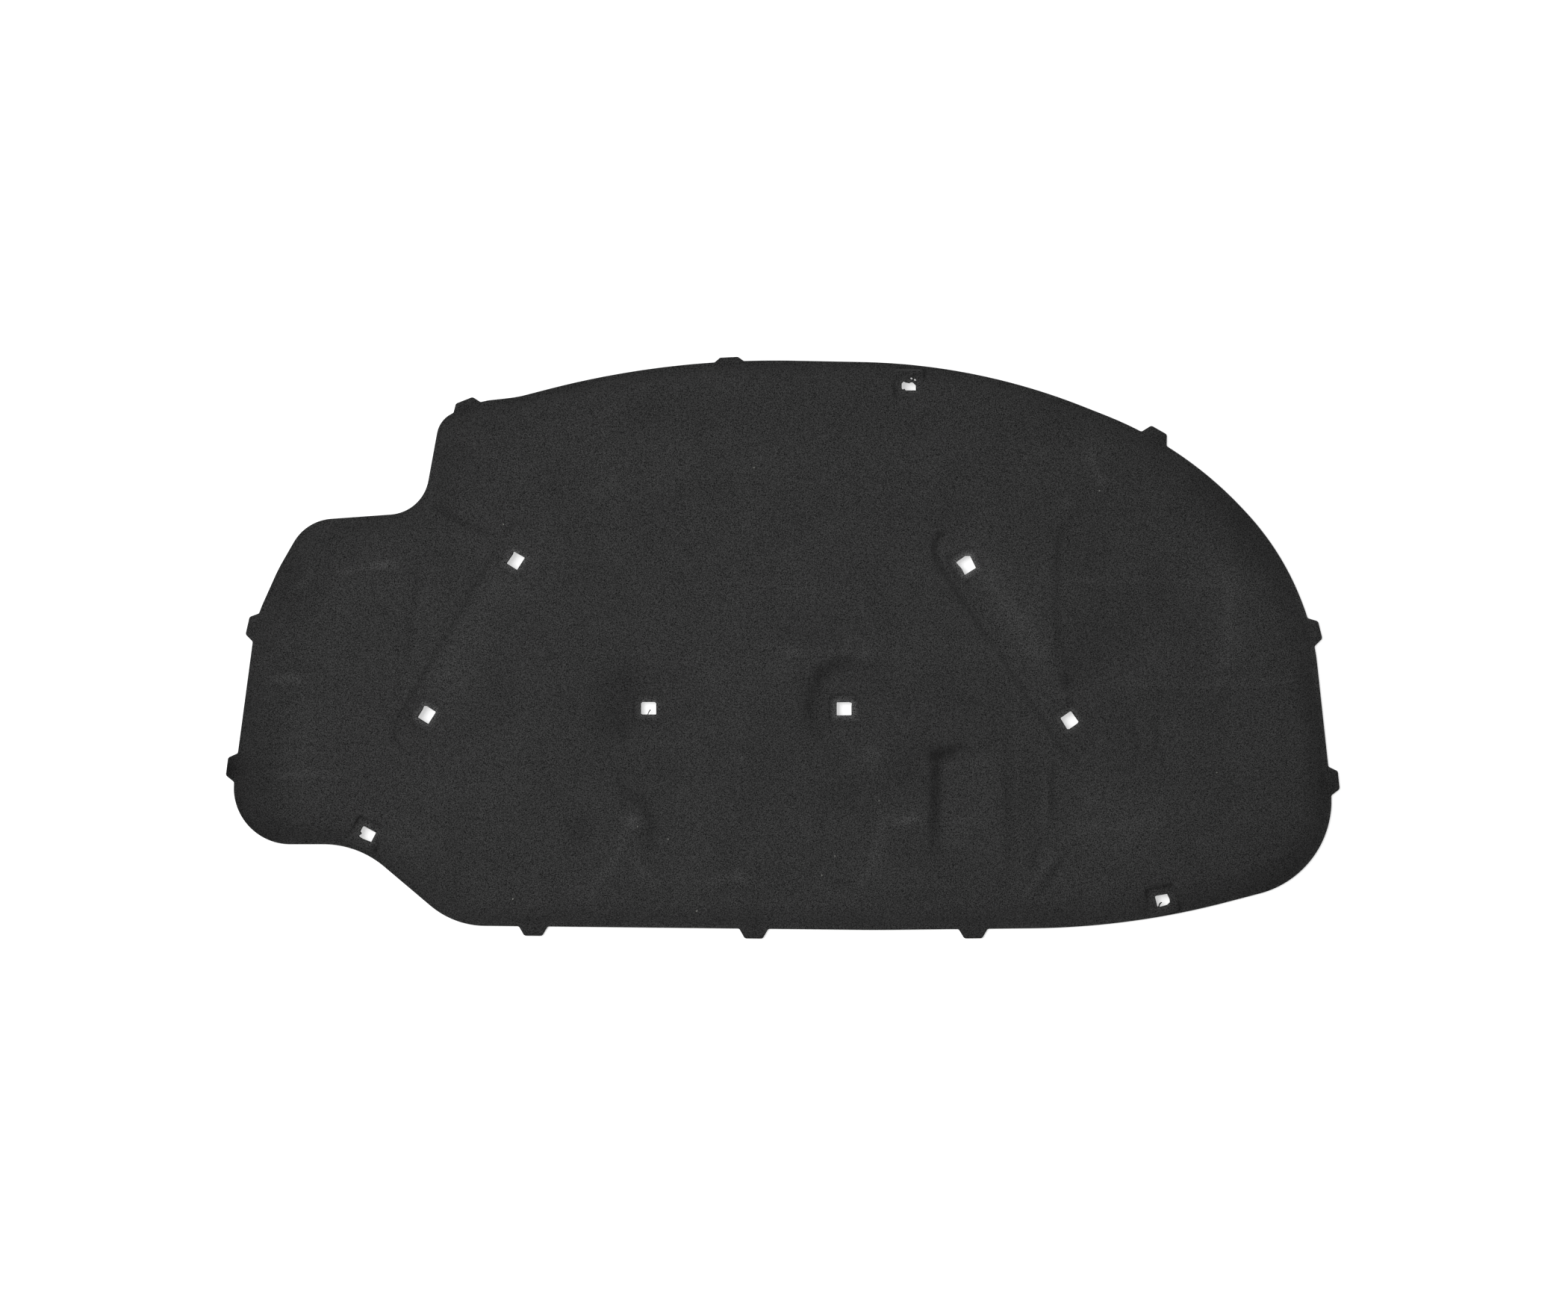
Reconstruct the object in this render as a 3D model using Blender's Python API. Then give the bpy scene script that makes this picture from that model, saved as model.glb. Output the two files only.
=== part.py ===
"""Hood insulation pad: one moulded mat of black felt that clips under a car's hood.

It is modelled as it lies face up on a flat surface. +X runs along its length and +Y across it,
the underside is the plane z = 0, and the moulded face looks along +Z.
The mat is thick and soft over most of its face. The mould presses it thin at the rim and at the
ten tabs on its edge, and it sinks a shallow square pocket around each of the nine clip holes.
Wide grooves, a sunk panel, dishes, a shelf and a swelling are moulded into the face.
"""

import math

import bmesh
import bpy
import numpy as np
from mathutils import Vector
from mathutils.geometry import delaunay_2d_cdt

MM = 0.001
TOUCHING = 0.001 * MM
INSIDE_ONLY = 1

# Overall size in plan, over the tips of the tabs
LENGTH = 1300 * MM
WIDTH = 680 * MM

# Thickness of the felt
LOFT = 15 * MM
RIM_THICKNESS = 3 * MM

# The pressed rim, and how wide the face rolls down to it at the middle and at the two ends
RIM_WIDTH = 5 * MM
ROLL_MIDDLE = 26 * MM
ROLL_ENDS = 32 * MM
ENDS_START = 260 * MM
ENDS_FULL = 470 * MM

LEFT, RIGHT = -LENGTH / 2, LENGTH / 2
BOTTOM, TOP = -WIDTH / 2, WIDTH / 2

# The outline without its tabs: corner x, corner y and corner radius, clockwise from the low left
OUTLINE = [
    (LEFT - 0.5 * MM, BOTTOM + 110.5 * MM, 66 * MM),
    (LEFT + 34.5 * MM, TOP - 307 * MM, 150 * MM),
    (LEFT + 61 * MM, TOP - 248 * MM, 200 * MM),
    (LEFT + 93.5 * MM, TOP - 191.3 * MM, 55 * MM),
    (LEFT + 229.5 * MM, TOP - 181.6 * MM, 48 * MM),
    (LEFT + 249.5 * MM, TOP - 72 * MM, 32 * MM),
    (LEFT + 300 * MM, TOP - 51.6 * MM, 60 * MM),
    (LEFT + 340 * MM, TOP - 47.2 * MM, 150 * MM),
    (LEFT + 506 * MM, TOP - 4.2 * MM, 1050 * MM),
    (5 * MM, TOP - 4.4 * MM, 600 * MM),
    (RIGHT - 424 * MM, TOP - 8.7 * MM, 740 * MM),
    (RIGHT - 180 * MM, TOP - 105 * MM, 440 * MM),
    (RIGHT - 68 * MM, TOP - 225.3 * MM, 320 * MM),
    (RIGHT - 29.7 * MM, TOP - 320 * MM, 290 * MM),
    (RIGHT + 1 * MM, BOTTOM + 77.5 * MM, 112 * MM),
    (RIGHT - 243.5 * MM, BOTTOM + 13.7 * MM, 930 * MM),
    (110 * MM, BOTTOM + 10.4 * MM, 2000 * MM),
    (LEFT + 266 * MM, BOTTOM + 15.7 * MM, 100 * MM),
    (LEFT + 153.5 * MM, BOTTOM + 110.7 * MM, 110 * MM),
]

# The tabs: width at the root and at the tip, and for each its place on the edge and its depth
TAB_ROOT = 34 * MM
TAB_TIP = 21 * MM
TAB_ROOT_RADIUS = 3 * MM
TAB_TIP_RADIUS = 4 * MM
TABS = {
    "left_low": (LEFT + 10 * MM, TOP - 480 * MM, 10.6 * MM),
    "left_high": (LEFT + 33 * MM, TOP - 316 * MM, 10 * MM),
    "notch": (LEFT + 281 * MM, TOP - 58.5 * MM, 9 * MM),
    "top": (-62.5 * MM, TOP - 4.5 * MM, 5.2 * MM),
    "right_top": (RIGHT - 215 * MM, TOP - 94 * MM, 12 * MM),
    "right_mid": (RIGHT - 32 * MM, TOP - 321.5 * MM, 11 * MM),
    "right_low": (RIGHT - 11 * MM, TOP - 496 * MM, 10.5 * MM),
    "bottom_right": (223 * MM, BOTTOM + 11 * MM, 11 * MM),
    "bottom_mid": (-34 * MM, BOTTOM + 11.5 * MM, 11.5 * MM),
    "bottom_left": (LEFT + 359 * MM, BOTTOM + 14 * MM, 11 * MM),
}

# The clip holes, the flat land pressed around each, and the wall and depth of its pocket
HOLE_LENGTH = 18 * MM
HOLE_WIDTH = 16 * MM
HOLE_RADIUS = 2 * MM
LAND_MARGIN = 6.5 * MM
LAND_RADIUS = 3 * MM
POCKET_SLOPE = 3.5 * MM
POCKET_DEPTH = 1.3 * MM
CLIP_HOLES = {
    "top": (RIGHT - 502.7 * MM, TOP - 32 * MM, 0),
    "groove_left_high": (-312 * MM, 102 * MM, 58),
    "groove_right_high": (214 * MM, 97 * MM, -58),
    "basin_left": (-156 * MM, -70 * MM, 0),
    "basin_right": (72 * MM, -71 * MM, 0),
    "groove_left_low": (-416 * MM, -78 * MM, 56),
    "groove_right_low": (335 * MM, -84 * MM, -56),
    "corner_left": (LEFT + 165 * MM, BOTTOM + 123 * MM, -26),
    "corner_right": (RIGHT - 207 * MM, BOTTOM + 46 * MM, 14),
}

# The grooves that join a pair of clip holes: the holes, the depth at each, the half width and
# the width of the wall on the left and on the right. The floor of each rises towards its right.
GROOVE_OVERRUN = 20 * MM
GROOVE_FLOOR_RISE = 0.8
GROOVES = [
    ("groove_left_high", "groove_left_low", 3 * MM, 3.5 * MM, 29 * MM, 7 * MM, 29 * MM, 10 * MM),
    ("groove_right_high", "groove_right_low", 7 * MM, 5 * MM, 31 * MM, 9 * MM, 46 * MM, 14 * MM),
]

# The round basins around the clip holes in the middle: how far each reaches from its hole to the
# left, right, top and bottom, the share of that which is flat, and its depth
BASINS = {
    "basin_left": (80 * MM, 150 * MM, 60 * MM, 56 * MM, 0.27, 6 * MM),
    "basin_right": (58 * MM, 105 * MM, 70 * MM, 62 * MM, 0.55, 5.5 * MM),
}

# The sunk panel at the right: corner x, corner y and corner radius, clockwise from the low left
PANEL = [
    (316.5 * MM, -31 * MM, 45 * MM),
    (316.5 * MM, 164 * MM, 40 * MM),
    (478 * MM, 164 * MM, 45 * MM),
    (528 * MM, 60 * MM, 60 * MM),
    (524 * MM, -31 * MM, 25 * MM),
]
PANEL_DEPTH = 2.5 * MM
PANEL_WALL = 10 * MM

# The raised plateau on the lobe at the left, clockwise from the low left
PLATEAU = [
    (-590 * MM, -60 * MM, 30 * MM),
    (-590 * MM, 40 * MM, 30 * MM),
    (-548 * MM, 92 * MM, 20 * MM),
    (-430 * MM, 106 * MM, 8 * MM),
    (-436 * MM, -60 * MM, 40 * MM),
]
PLATEAU_HEIGHT = 2 * MM
PLATEAU_WALL = 11 * MM
PLATEAU_FADE = 90 * MM

# The recess near the bottom, whose walls are steep at its left and top and fade at its other sides
RECESS_LEFT = 170 * MM
RECESS_TOP = -110 * MM
RECESS_BOTTOM = -226 * MM
RECESS_WALL = 16 * MM
RECESS_SIDE_FADE = 70 * MM
RECESS_END_FADE = 36 * MM
RECESS_DEPTH_HIGH = 8 * MM
RECESS_DEPTH_LOW = 5 * MM

# The slope that leads down to the recess from its left
SLOPE_LENGTH = 60 * MM
SLOPE_FALL = 2.5 * MM

# The swelling at the left of the bottom
SWELLING_X = -168 * MM
SWELLING_Y = -206 * MM
SWELLING_RADIUS = 30 * MM
SWELLING_HEIGHT = 3 * MM

# Spacing of the points that carry the face and the underside, and how far they keep apart
EDGE_SPACING = 16 * MM
FACE_SPACING = 30 * MM
UNDERSIDE_SPACING = 110 * MM
RIM_CLEARANCE = 4 * MM
CLEARANCE_SHARE = 0.45
ROLL_STEPS = (0, 0.14, 0.36, 0.66, 1)
ARC_ANGLE = math.radians(22)
LEAST_RING_STEPS = 6
SHARP_ANGLE = math.radians(40)

FELT_COLOUR = (0.031, 0.031, 0.031, 1)
FELT_ROUGHNESS = 0.95


def clear_scene():
    for old in list(bpy.data.objects):
        bpy.data.objects.remove(old)


# Plan curves


def reach_of(before, corner, after, radius):
    """How far from a corner the arc that rounds it begins."""
    return radius / math.tan((before - corner).angle(after - corner) / 2)


def fillet(before, corner, after, reach):
    """Points of the arc that rounds one corner and begins at the given reach from it."""
    back = (before - corner).normalized()
    ahead = (after - corner).normalized()
    half = back.angle(ahead) / 2
    radius = reach * math.tan(half)
    centre = corner + (back + ahead).normalized() * radius / math.sin(half)
    first = corner + back * reach - centre
    turn = first.angle_signed(corner + ahead * reach - centre)
    steps = max(math.ceil(abs(turn) / ARC_ANGLE), math.ceil(abs(turn) * radius / EDGE_SPACING))
    points = []
    for step in range(steps + 1):
        angle = -turn * step / steps
        cosine, sine = math.cos(angle), math.sin(angle)
        turned = Vector((first.x * cosine - first.y * sine, first.x * sine + first.y * cosine))
        points.append(centre + turned)
    return points


def rounded_loop(corners):
    """A closed loop whose corners are rounded. Two arcs that meet share the side between them."""
    places = [Vector((x, y)) for x, y, radius in corners]
    count = len(places)
    around = [(places[i - 1], places[i], places[(i + 1) % count]) for i in range(count)]
    reaches = [reach_of(*three, corner[2]) for three, corner in zip(around, corners)]
    loop = []
    for index, (before, here, after) in enumerate(around):
        reach = reaches[index]
        back_share = reach / (reach + reaches[index - 1])
        ahead_share = reach / (reach + reaches[(index + 1) % count])
        back_room = (before - here).length * back_share
        ahead_room = (after - here).length * ahead_share
        loop += fillet(before, here, after, min(reach, back_room, ahead_room))
    return loop


def spaced(loop, spacing):
    """The closed loop with more points on each stretch that is longer than the spacing."""
    points = []
    for here, after in zip(loop, loop[1:] + loop[:1]):
        steps = max(1, math.ceil((after - here).length / spacing))
        points += [here.lerp(after, step / steps) for step in range(steps)]
    return points


def turned_rectangle(x, y, turn, length, width, radius):
    """A rectangle with rounded corners around a point, turned by an angle in degrees."""
    cosine, sine = math.cos(math.radians(turn)), math.sin(math.radians(turn))
    corners = []
    for along, across in ((-1, -1), (-1, 1), (1, 1), (1, -1)):
        u, v = along * length / 2, across * width / 2
        corners.append((x + u * cosine - v * sine, y + u * sine + v * cosine, radius))
    return rounded_loop(corners)


def shifted_loop(loop, distances):
    """Points beside a clockwise loop, each moved inwards by its own distance."""
    points = []
    for index, distance in enumerate(distances):
        along = (loop[(index + 1) % len(loop)] - loop[index - 1]).normalized()
        points.append(loop[index] + Vector((along.y, -along.x)) * distance)
    return points


def tab_points(before, root_start, root_end, after, depth):
    """The edge of one tab, from one root corner over the tip to the other."""
    along = (root_end - root_start).normalized()
    outwards = Vector((-along.y, along.x))
    middle = (root_start + root_end) / 2
    tip_start = middle - along * TAB_TIP / 2 + outwards * depth
    tip_end = middle + along * TAB_TIP / 2 + outwards * depth
    chain = [before, root_start, tip_start, tip_end, root_end, after]
    radii = [TAB_ROOT_RADIUS, TAB_TIP_RADIUS, TAB_TIP_RADIUS, TAB_ROOT_RADIUS]
    points = []
    for index, radius in enumerate(radii):
        three = chain[index : index + 3]
        points += fillet(*three, reach_of(*three, radius))
    return points


def outline_with_tabs(outline):
    """The outline with each tab standing out at its own place along the edge."""
    fine = spaced(outline, 1 * MM)
    lengths = np.cumsum([0.0] + [(b - a).length for a, b in zip(fine, fine[1:] + fine[:1])])
    around = lengths[-1]

    def at(distance):
        index = int(np.searchsorted(lengths, distance % around, side="right")) - 1
        part = (distance % around - lengths[index]) / (lengths[index + 1] - lengths[index])
        return fine[index].lerp(fine[(index + 1) % len(fine)], part)

    cuts = []
    for x, y, depth in TABS.values():
        nearest = min(range(len(fine)), key=lambda index: (fine[index] - Vector((x, y))).length)
        cuts.append((lengths[nearest], depth))
    kept = []
    coarse = spaced(outline, EDGE_SPACING)
    run = np.cumsum([0.0] + [(b - a).length for a, b in zip(coarse, coarse[1:])])
    clear = TAB_ROOT / 2 + 2 * TAB_ROOT_RADIUS
    for point, distance in zip(coarse, run):
        apart = [abs((distance - place + around / 2) % around - around / 2) for place, depth in cuts]
        if min(apart) > clear:
            kept.append((distance, [point]))
    for place, depth in cuts:
        start, end = place - TAB_ROOT / 2, place + TAB_ROOT / 2
        before, after = at(start - TAB_ROOT_RADIUS), at(end + TAB_ROOT_RADIUS)
        kept.append((place, tab_points(before, at(start), at(end), after, depth)))
    loop = []
    for distance, points in sorted(kept, key=lambda stretch: stretch[0]):
        loop += points
    return spaced(loop, EDGE_SPACING)


# Height of the face


def plain_array(points):
    return np.array([(point[0], point[1]) for point in points], dtype=float)


def distance_to_loop(points, loop):
    """How far each point lies from a closed loop."""
    starts = plain_array(loop)
    runs = np.roll(starts, -1, axis=0) - starts
    offsets = points[:, None, :] - starts[None, :, :]
    share = (offsets * runs).sum(axis=2) / (runs * runs).sum(axis=1)
    share = np.clip(share, 0, 1)
    return np.linalg.norm(offsets - share[:, :, None] * runs, axis=2).min(axis=1)


def inside_loop(points, loop):
    """Whether each point lies inside a closed loop."""
    starts = plain_array(loop)
    ends = np.roll(starts, -1, axis=0)
    x, y = points[:, :1], points[:, 1:]
    crosses = (starts[:, 1] > y) != (ends[:, 1] > y)
    rise = np.where(starts[:, 1] == ends[:, 1], 1, ends[:, 1] - starts[:, 1])
    crossing = starts[:, 0] + (y - starts[:, 1]) * (ends[:, 0] - starts[:, 0]) / rise
    return (crosses & (x < crossing)).sum(axis=1) % 2 == 1


def ease(share):
    """Rises from 0 to 1 with a soft start and a soft end."""
    share = np.clip(share, 0, 1)
    return share * share * (3 - 2 * share)


def roll_width(points):
    share = ease((np.abs(points[:, 0]) - ENDS_START) / (ENDS_FULL - ENDS_START))
    return ROLL_MIDDLE + (ROLL_ENDS - ROLL_MIDDLE) * share


def groove_ends(first, second):
    """The two ends of the line that a groove follows, past its clip holes."""
    high, low = Vector(CLIP_HOLES[first][:2]), Vector(CLIP_HOLES[second][:2])
    along = (low - high).normalized()
    return high - along * GROOVE_OVERRUN, low + along * GROOVE_OVERRUN


def groove_depth(points, groove):
    """Depth of one groove: it follows a line and has round ends and two unlike walls."""
    high, low, high_depth, low_depth, left, left_wall, right, right_wall = groove
    start, end = groove_ends(high, low)
    run = np.array(end - start)
    offsets = points - np.array(start)
    share = np.clip(offsets @ run / (run @ run), 0, 1)
    apart = np.linalg.norm(offsets - share[:, None] * run, axis=1)
    on_right = offsets[:, 0] * run[1] - offsets[:, 1] * run[0] < 0
    reach = np.where(on_right, right, left)
    wall = np.where(on_right, right_wall, left_wall)
    depth = high_depth + (low_depth - high_depth) * ease(share)
    across = np.where(on_right, left + apart, left - apart) / (left + right)
    depth *= 1 - GROOVE_FLOOR_RISE * np.clip(across, 0, 1)
    return depth * ease((reach - apart) / wall)


def basin_depth(points, name):
    """Depth of one basin: it reaches a different way to each side of its hole."""
    left, right, top, bottom, flat, depth = BASINS[name]
    x, y = (points - np.array(CLIP_HOLES[name][:2])).T
    across = x / np.where(x < 0, left, right)
    along = y / np.where(y < 0, bottom, top)
    return depth * ease((1 - np.hypot(across, along)) / (1 - flat))


def sunk(points, loop, depth, wall):
    """Depth inside a closed loop, with a wall that follows it."""
    inwards = np.where(inside_loop(points, loop), distance_to_loop(points, loop), 0)
    return depth * ease(inwards / wall)


def plateau_height(points, plateau):
    fade = ease((points[:, 1] - PLATEAU[0][1]) / PLATEAU_FADE)
    return sunk(points, plateau, PLATEAU_HEIGHT, PLATEAU_WALL) * fade


def recess_depth(points):
    x, y = points[:, 0], points[:, 1]
    floor_left = RECESS_LEFT + RECESS_WALL
    side = np.clip((x - RECESS_LEFT) / RECESS_WALL, 0, 1)
    side *= 1 - ease((x - floor_left) / RECESS_SIDE_FADE)
    top = np.clip((RECESS_TOP - y) / RECESS_WALL, 0, 1)
    bottom = ease((y - RECESS_BOTTOM) / RECESS_END_FADE + 1)
    slope = SLOPE_FALL * ease(1 + (x - RECESS_LEFT) / SLOPE_LENGTH) * (x < RECESS_LEFT)
    slope += SLOPE_FALL * (x >= RECESS_LEFT) * (1 - ease((x - floor_left) / RECESS_SIDE_FADE))
    lift = ease((y - RECESS_BOTTOM) / (RECESS_TOP - RECESS_BOTTOM))
    depth = RECESS_DEPTH_LOW + (RECESS_DEPTH_HIGH - RECESS_DEPTH_LOW) * lift
    return depth * side * top * bottom + slope * ease(top) * bottom


def swelling(points):
    apart = np.linalg.norm(points - np.array((SWELLING_X, SWELLING_Y)), axis=1)
    return SWELLING_HEIGHT * ease(1 - apart / SWELLING_RADIUS)


def face_height(points, outline, panel, plateau):
    """Height of the moulded face over each point of the plan, without the clip pockets."""
    inwards = np.where(inside_loop(points, outline), distance_to_loop(points, outline), 0)
    share = np.clip((inwards - RIM_WIDTH) / roll_width(points), 0, 1)
    rise = 1 - (1 - share) ** 2
    relief = swelling(points) + plateau_height(points, plateau) - recess_depth(points)
    relief -= sunk(points, panel, PANEL_DEPTH, PANEL_WALL)
    for groove in GROOVES:
        relief -= groove_depth(points, groove)
    for name in BASINS:
        relief -= basin_depth(points, name)
    height = RIM_THICKNESS + (LOFT - RIM_THICKNESS) * rise + relief * rise
    return np.maximum(height, RIM_THICKNESS)


# Points of the plan


def ring(centre, radius, spacing):
    count = max(LEAST_RING_STEPS, math.ceil(2 * math.pi * radius / spacing))
    angles = [2 * math.pi * index / count for index in range(count)]
    return [centre + Vector((math.cos(angle), math.sin(angle))) * radius for angle in angles]


def groove_points(groove):
    """Points along the foot and the top of both walls of a groove."""
    high, low, _, _, left, left_wall, right, right_wall = groove
    start, end = groove_ends(high, low)
    along = (end - start).normalized()
    across = Vector((-along.y, along.x))
    steps = math.ceil((end - start).length / EDGE_SPACING)
    points = []
    for offset in (0, left - left_wall, left, right_wall - right, -right):
        for step in range(steps + 1):
            points.append(start.lerp(end, step / steps) - across * offset)
        points += ring(start, abs(offset), EDGE_SPACING) + ring(end, abs(offset), EDGE_SPACING)
    return points


def relief_points(panel, plateau):
    """Points along the walls and bottoms of the moulded relief."""
    points = []
    for loop, wall in ((panel, PANEL_WALL), (plateau, PLATEAU_WALL)):
        border = spaced(loop, EDGE_SPACING)
        for distance in (0, wall):
            points += shifted_loop(border, [distance] * len(border))
    steps = math.ceil((RECESS_TOP - RECESS_BOTTOM) / EDGE_SPACING)
    for step in range(steps + 1):
        y = RECESS_BOTTOM + (RECESS_TOP - RECESS_BOTTOM) * step / steps
        points += [Vector((RECESS_LEFT, y)), Vector((RECESS_LEFT + RECESS_WALL, y))]
    for step in range(steps + 1):
        x = RECESS_LEFT + RECESS_SIDE_FADE * step / steps
        points += [Vector((x, RECESS_TOP)), Vector((x, RECESS_TOP - RECESS_WALL))]
    for groove in GROOVES:
        points += groove_points(groove)
    for name, basin in BASINS.items():
        centre = Vector(CLIP_HOLES[name][:2])
        for share in (0.4, 0.7, 1):
            points += ring(centre, min(basin[:4]) * share, EDGE_SPACING)
    centre = Vector((SWELLING_X, SWELLING_Y))
    points.append(centre)
    for share in (0.45, 1):
        points += ring(centre, SWELLING_RADIUS * share, SWELLING_RADIUS / 2)
    return points


def rim_points(outline):
    """Points beside the edge, at steps up the roll of the face."""
    loop = spaced(outline, EDGE_SPACING)
    widths = roll_width(plain_array(loop))
    points = []
    for share in ROLL_STEPS:
        points += shifted_loop(loop, RIM_WIDTH + widths * share)
    return points


def grid_points(outline, spacing):
    """A triangular grid of points over the whole plan."""
    plan = plain_array(outline)
    low, high = plan.min(axis=0), plan.max(axis=0)
    row = spacing * math.sqrt(3) / 2
    points = []
    for line in range(int((high[1] - low[1]) / row) + 1):
        for place in range(int((high[0] - low[0]) / spacing) + 1):
            shift = spacing / 2 * (line % 2)
            points.append(Vector((low[0] + shift + place * spacing, low[1] + line * row)))
    return points


def thinned(groups, kept):
    """The kept points and then those of each group that lie clear of all before them."""
    chosen = plain_array(kept)
    for points, clearance in groups:
        for point in plain_array(points):
            if np.linalg.norm(chosen - point, axis=1).min() > clearance:
                chosen = np.vstack([chosen, point])
    return chosen[len(kept) :]


def within_plan(points, outline, pockets, clearance):
    """The points inside the outline that keep clear of it and of the clip pockets."""
    plan = plain_array(points)
    good = inside_loop(plan, outline) & (distance_to_loop(plan, outline) > clearance)
    for pocket in pockets:
        good &= ~inside_loop(plan, pocket) & (distance_to_loop(plan, pocket) > clearance)
    return [point for point, fits in zip(points, good) if fits]


# The solid


def triangles(loops, loose, holes):
    """Triangles between closed loops and loose points, leaving out what lies in a hole."""
    points = []
    edges = []
    for loop in loops:
        first = len(points)
        points += [Vector(point) for point in loop]
        edges += [(first + i, first + (i + 1) % len(loop)) for i in range(len(loop))]
    points += [Vector(point) for point in loose]
    found, _, faces, sources, _, _ = delaunay_2d_cdt(points, edges, [], INSIDE_ONLY, TOUCHING)
    middles = np.array([np.mean([found[i] for i in face], axis=0) for face in faces])
    good = inside_loop(middles, loops[0])
    for hole in holes:
        good &= ~inside_loop(middles, hole)
    names = [source[0] for source in sources]
    return points, [[names[i] for i in face] for face, fits in zip(faces, good) if fits]


def add_faces(mesh, points, heights, faces):
    """Adds one layer of the solid and returns its vertices."""
    layer = [mesh.verts.new((point[0], point[1], z)) for point, z in zip(points, heights)]
    for face in faces:
        mesh.faces.new([layer[i] for i in face])
    return layer


def make_felt():
    material = bpy.data.materials.new("black_felt")
    material.use_nodes = True
    shader = material.node_tree.nodes["Principled BSDF"]
    shader.inputs["Base Color"].default_value = FELT_COLOUR
    shader.inputs["Roughness"].default_value = FELT_ROUGHNESS
    shader.inputs["Metallic"].default_value = 0
    return material


def make_pad():
    outline = rounded_loop(OUTLINE)
    panel = rounded_loop(PANEL)
    plateau = rounded_loop(PLATEAU)
    edge = outline_with_tabs(outline)
    holes, lands, mouths = [], [], []
    land_growth = 2 * LAND_MARGIN
    mouth_growth = land_growth + 2 * POCKET_SLOPE
    mouth_radius = LAND_RADIUS + POCKET_SLOPE
    for x, y, turn in CLIP_HOLES.values():
        holes.append(turned_rectangle(x, y, turn, HOLE_LENGTH, HOLE_WIDTH, HOLE_RADIUS))
        grown = (HOLE_LENGTH + land_growth, HOLE_WIDTH + land_growth)
        lands.append(turned_rectangle(x, y, turn, *grown, LAND_RADIUS))
        grown = (HOLE_LENGTH + mouth_growth, HOLE_WIDTH + mouth_growth)
        mouths.append(turned_rectangle(x, y, turn, *grown, mouth_radius))

    groups = []
    for points, clearance in (
        (rim_points(outline), RIM_CLEARANCE),
        (relief_points(panel, plateau), EDGE_SPACING * CLEARANCE_SHARE),
        (grid_points(outline, FACE_SPACING), FACE_SPACING * CLEARANCE_SHARE),
    ):
        groups.append((within_plan(points, edge, mouths, RIM_WIDTH / 2), clearance))
    loops = [edge] + holes + lands + mouths
    loose = thinned(groups, [point for loop in loops for point in loop])
    points, faces = triangles(loops, loose, holes)
    plan = plain_array(points)
    heights = face_height(plan, outline, panel, plateau)
    middles = plain_array(CLIP_HOLES.values())
    land_heights = face_height(middles, outline, panel, plateau) - POCKET_DEPTH
    for land, land_height in zip(lands, land_heights):
        pressed = inside_loop(plan, land) | (distance_to_loop(plan, land) < TOUCHING)
        heights[pressed] = land_height

    mesh = bmesh.new()
    face_layer = add_faces(mesh, points, heights, faces)
    under = within_plan(grid_points(outline, UNDERSIDE_SPACING), edge, mouths, EDGE_SPACING)
    under_loops = [edge] + holes
    points, faces = triangles(under_loops, under, holes)
    under_layer = add_faces(mesh, points, np.zeros(len(points)), faces)
    first = 0
    for loop in under_loops:
        for index in range(len(loop)):
            here, after = first + index, first + (index + 1) % len(loop)
            wall = (face_layer[here], face_layer[after], under_layer[after], under_layer[here])
            mesh.faces.new(wall)
        first += len(loop)
    bmesh.ops.triangulate(mesh, faces=mesh.faces[:])
    bmesh.ops.recalc_face_normals(mesh, faces=mesh.faces[:])

    data = bpy.data.meshes.new("insulation_pad")
    mesh.to_mesh(data)
    mesh.free()
    pad = bpy.data.objects.new("insulation_pad", data)
    bpy.context.scene.collection.objects.link(pad)
    data.materials.append(make_felt())
    data.shade_smooth()
    data.set_sharp_from_angle(angle=SHARP_ANGLE)
    return pad


clear_scene()
make_pad()
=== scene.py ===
# %% [markdown]
# # A hood insulation pad
# The pad hangs under a car's hood. It is one sheet of needled felt, about 1.3 m long, that a hot
# mould has shaped: soft and thick over the face, pressed thin at the rim, the tabs and the clips.
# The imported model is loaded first, because it fixes the size and the place of everything here.

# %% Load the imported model
import math

import bpy
import numpy as np
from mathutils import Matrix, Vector
from mathutils.geometry import delaunay_2d_cdt
from mathutils.kdtree import KDTree


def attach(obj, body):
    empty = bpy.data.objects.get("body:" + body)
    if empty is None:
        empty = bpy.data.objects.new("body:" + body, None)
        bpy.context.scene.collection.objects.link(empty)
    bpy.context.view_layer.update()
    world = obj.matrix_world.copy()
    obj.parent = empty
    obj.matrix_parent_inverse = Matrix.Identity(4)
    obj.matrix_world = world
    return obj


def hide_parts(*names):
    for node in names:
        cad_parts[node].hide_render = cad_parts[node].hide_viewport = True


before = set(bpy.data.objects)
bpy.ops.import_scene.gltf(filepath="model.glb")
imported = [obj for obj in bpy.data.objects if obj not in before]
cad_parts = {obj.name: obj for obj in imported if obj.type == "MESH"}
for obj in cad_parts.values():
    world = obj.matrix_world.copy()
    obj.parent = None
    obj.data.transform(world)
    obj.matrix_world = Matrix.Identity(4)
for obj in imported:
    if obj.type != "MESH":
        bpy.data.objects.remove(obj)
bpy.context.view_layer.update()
MM = 0.001

# %% [markdown]
# The photograph looks straight down on the pad. A long lens far above keeps the outline free of
# perspective, so the camera hangs five metres over the floor. The frame is 1832 mm wide there.

# %% Camera
FRAME_WIDTH = 1832.2 * MM
CAMERA_HEIGHT = 5
SENSOR = 36
CAMERA_PLACE = (1.7 * MM, -3.1 * MM, CAMERA_HEIGHT)

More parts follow.
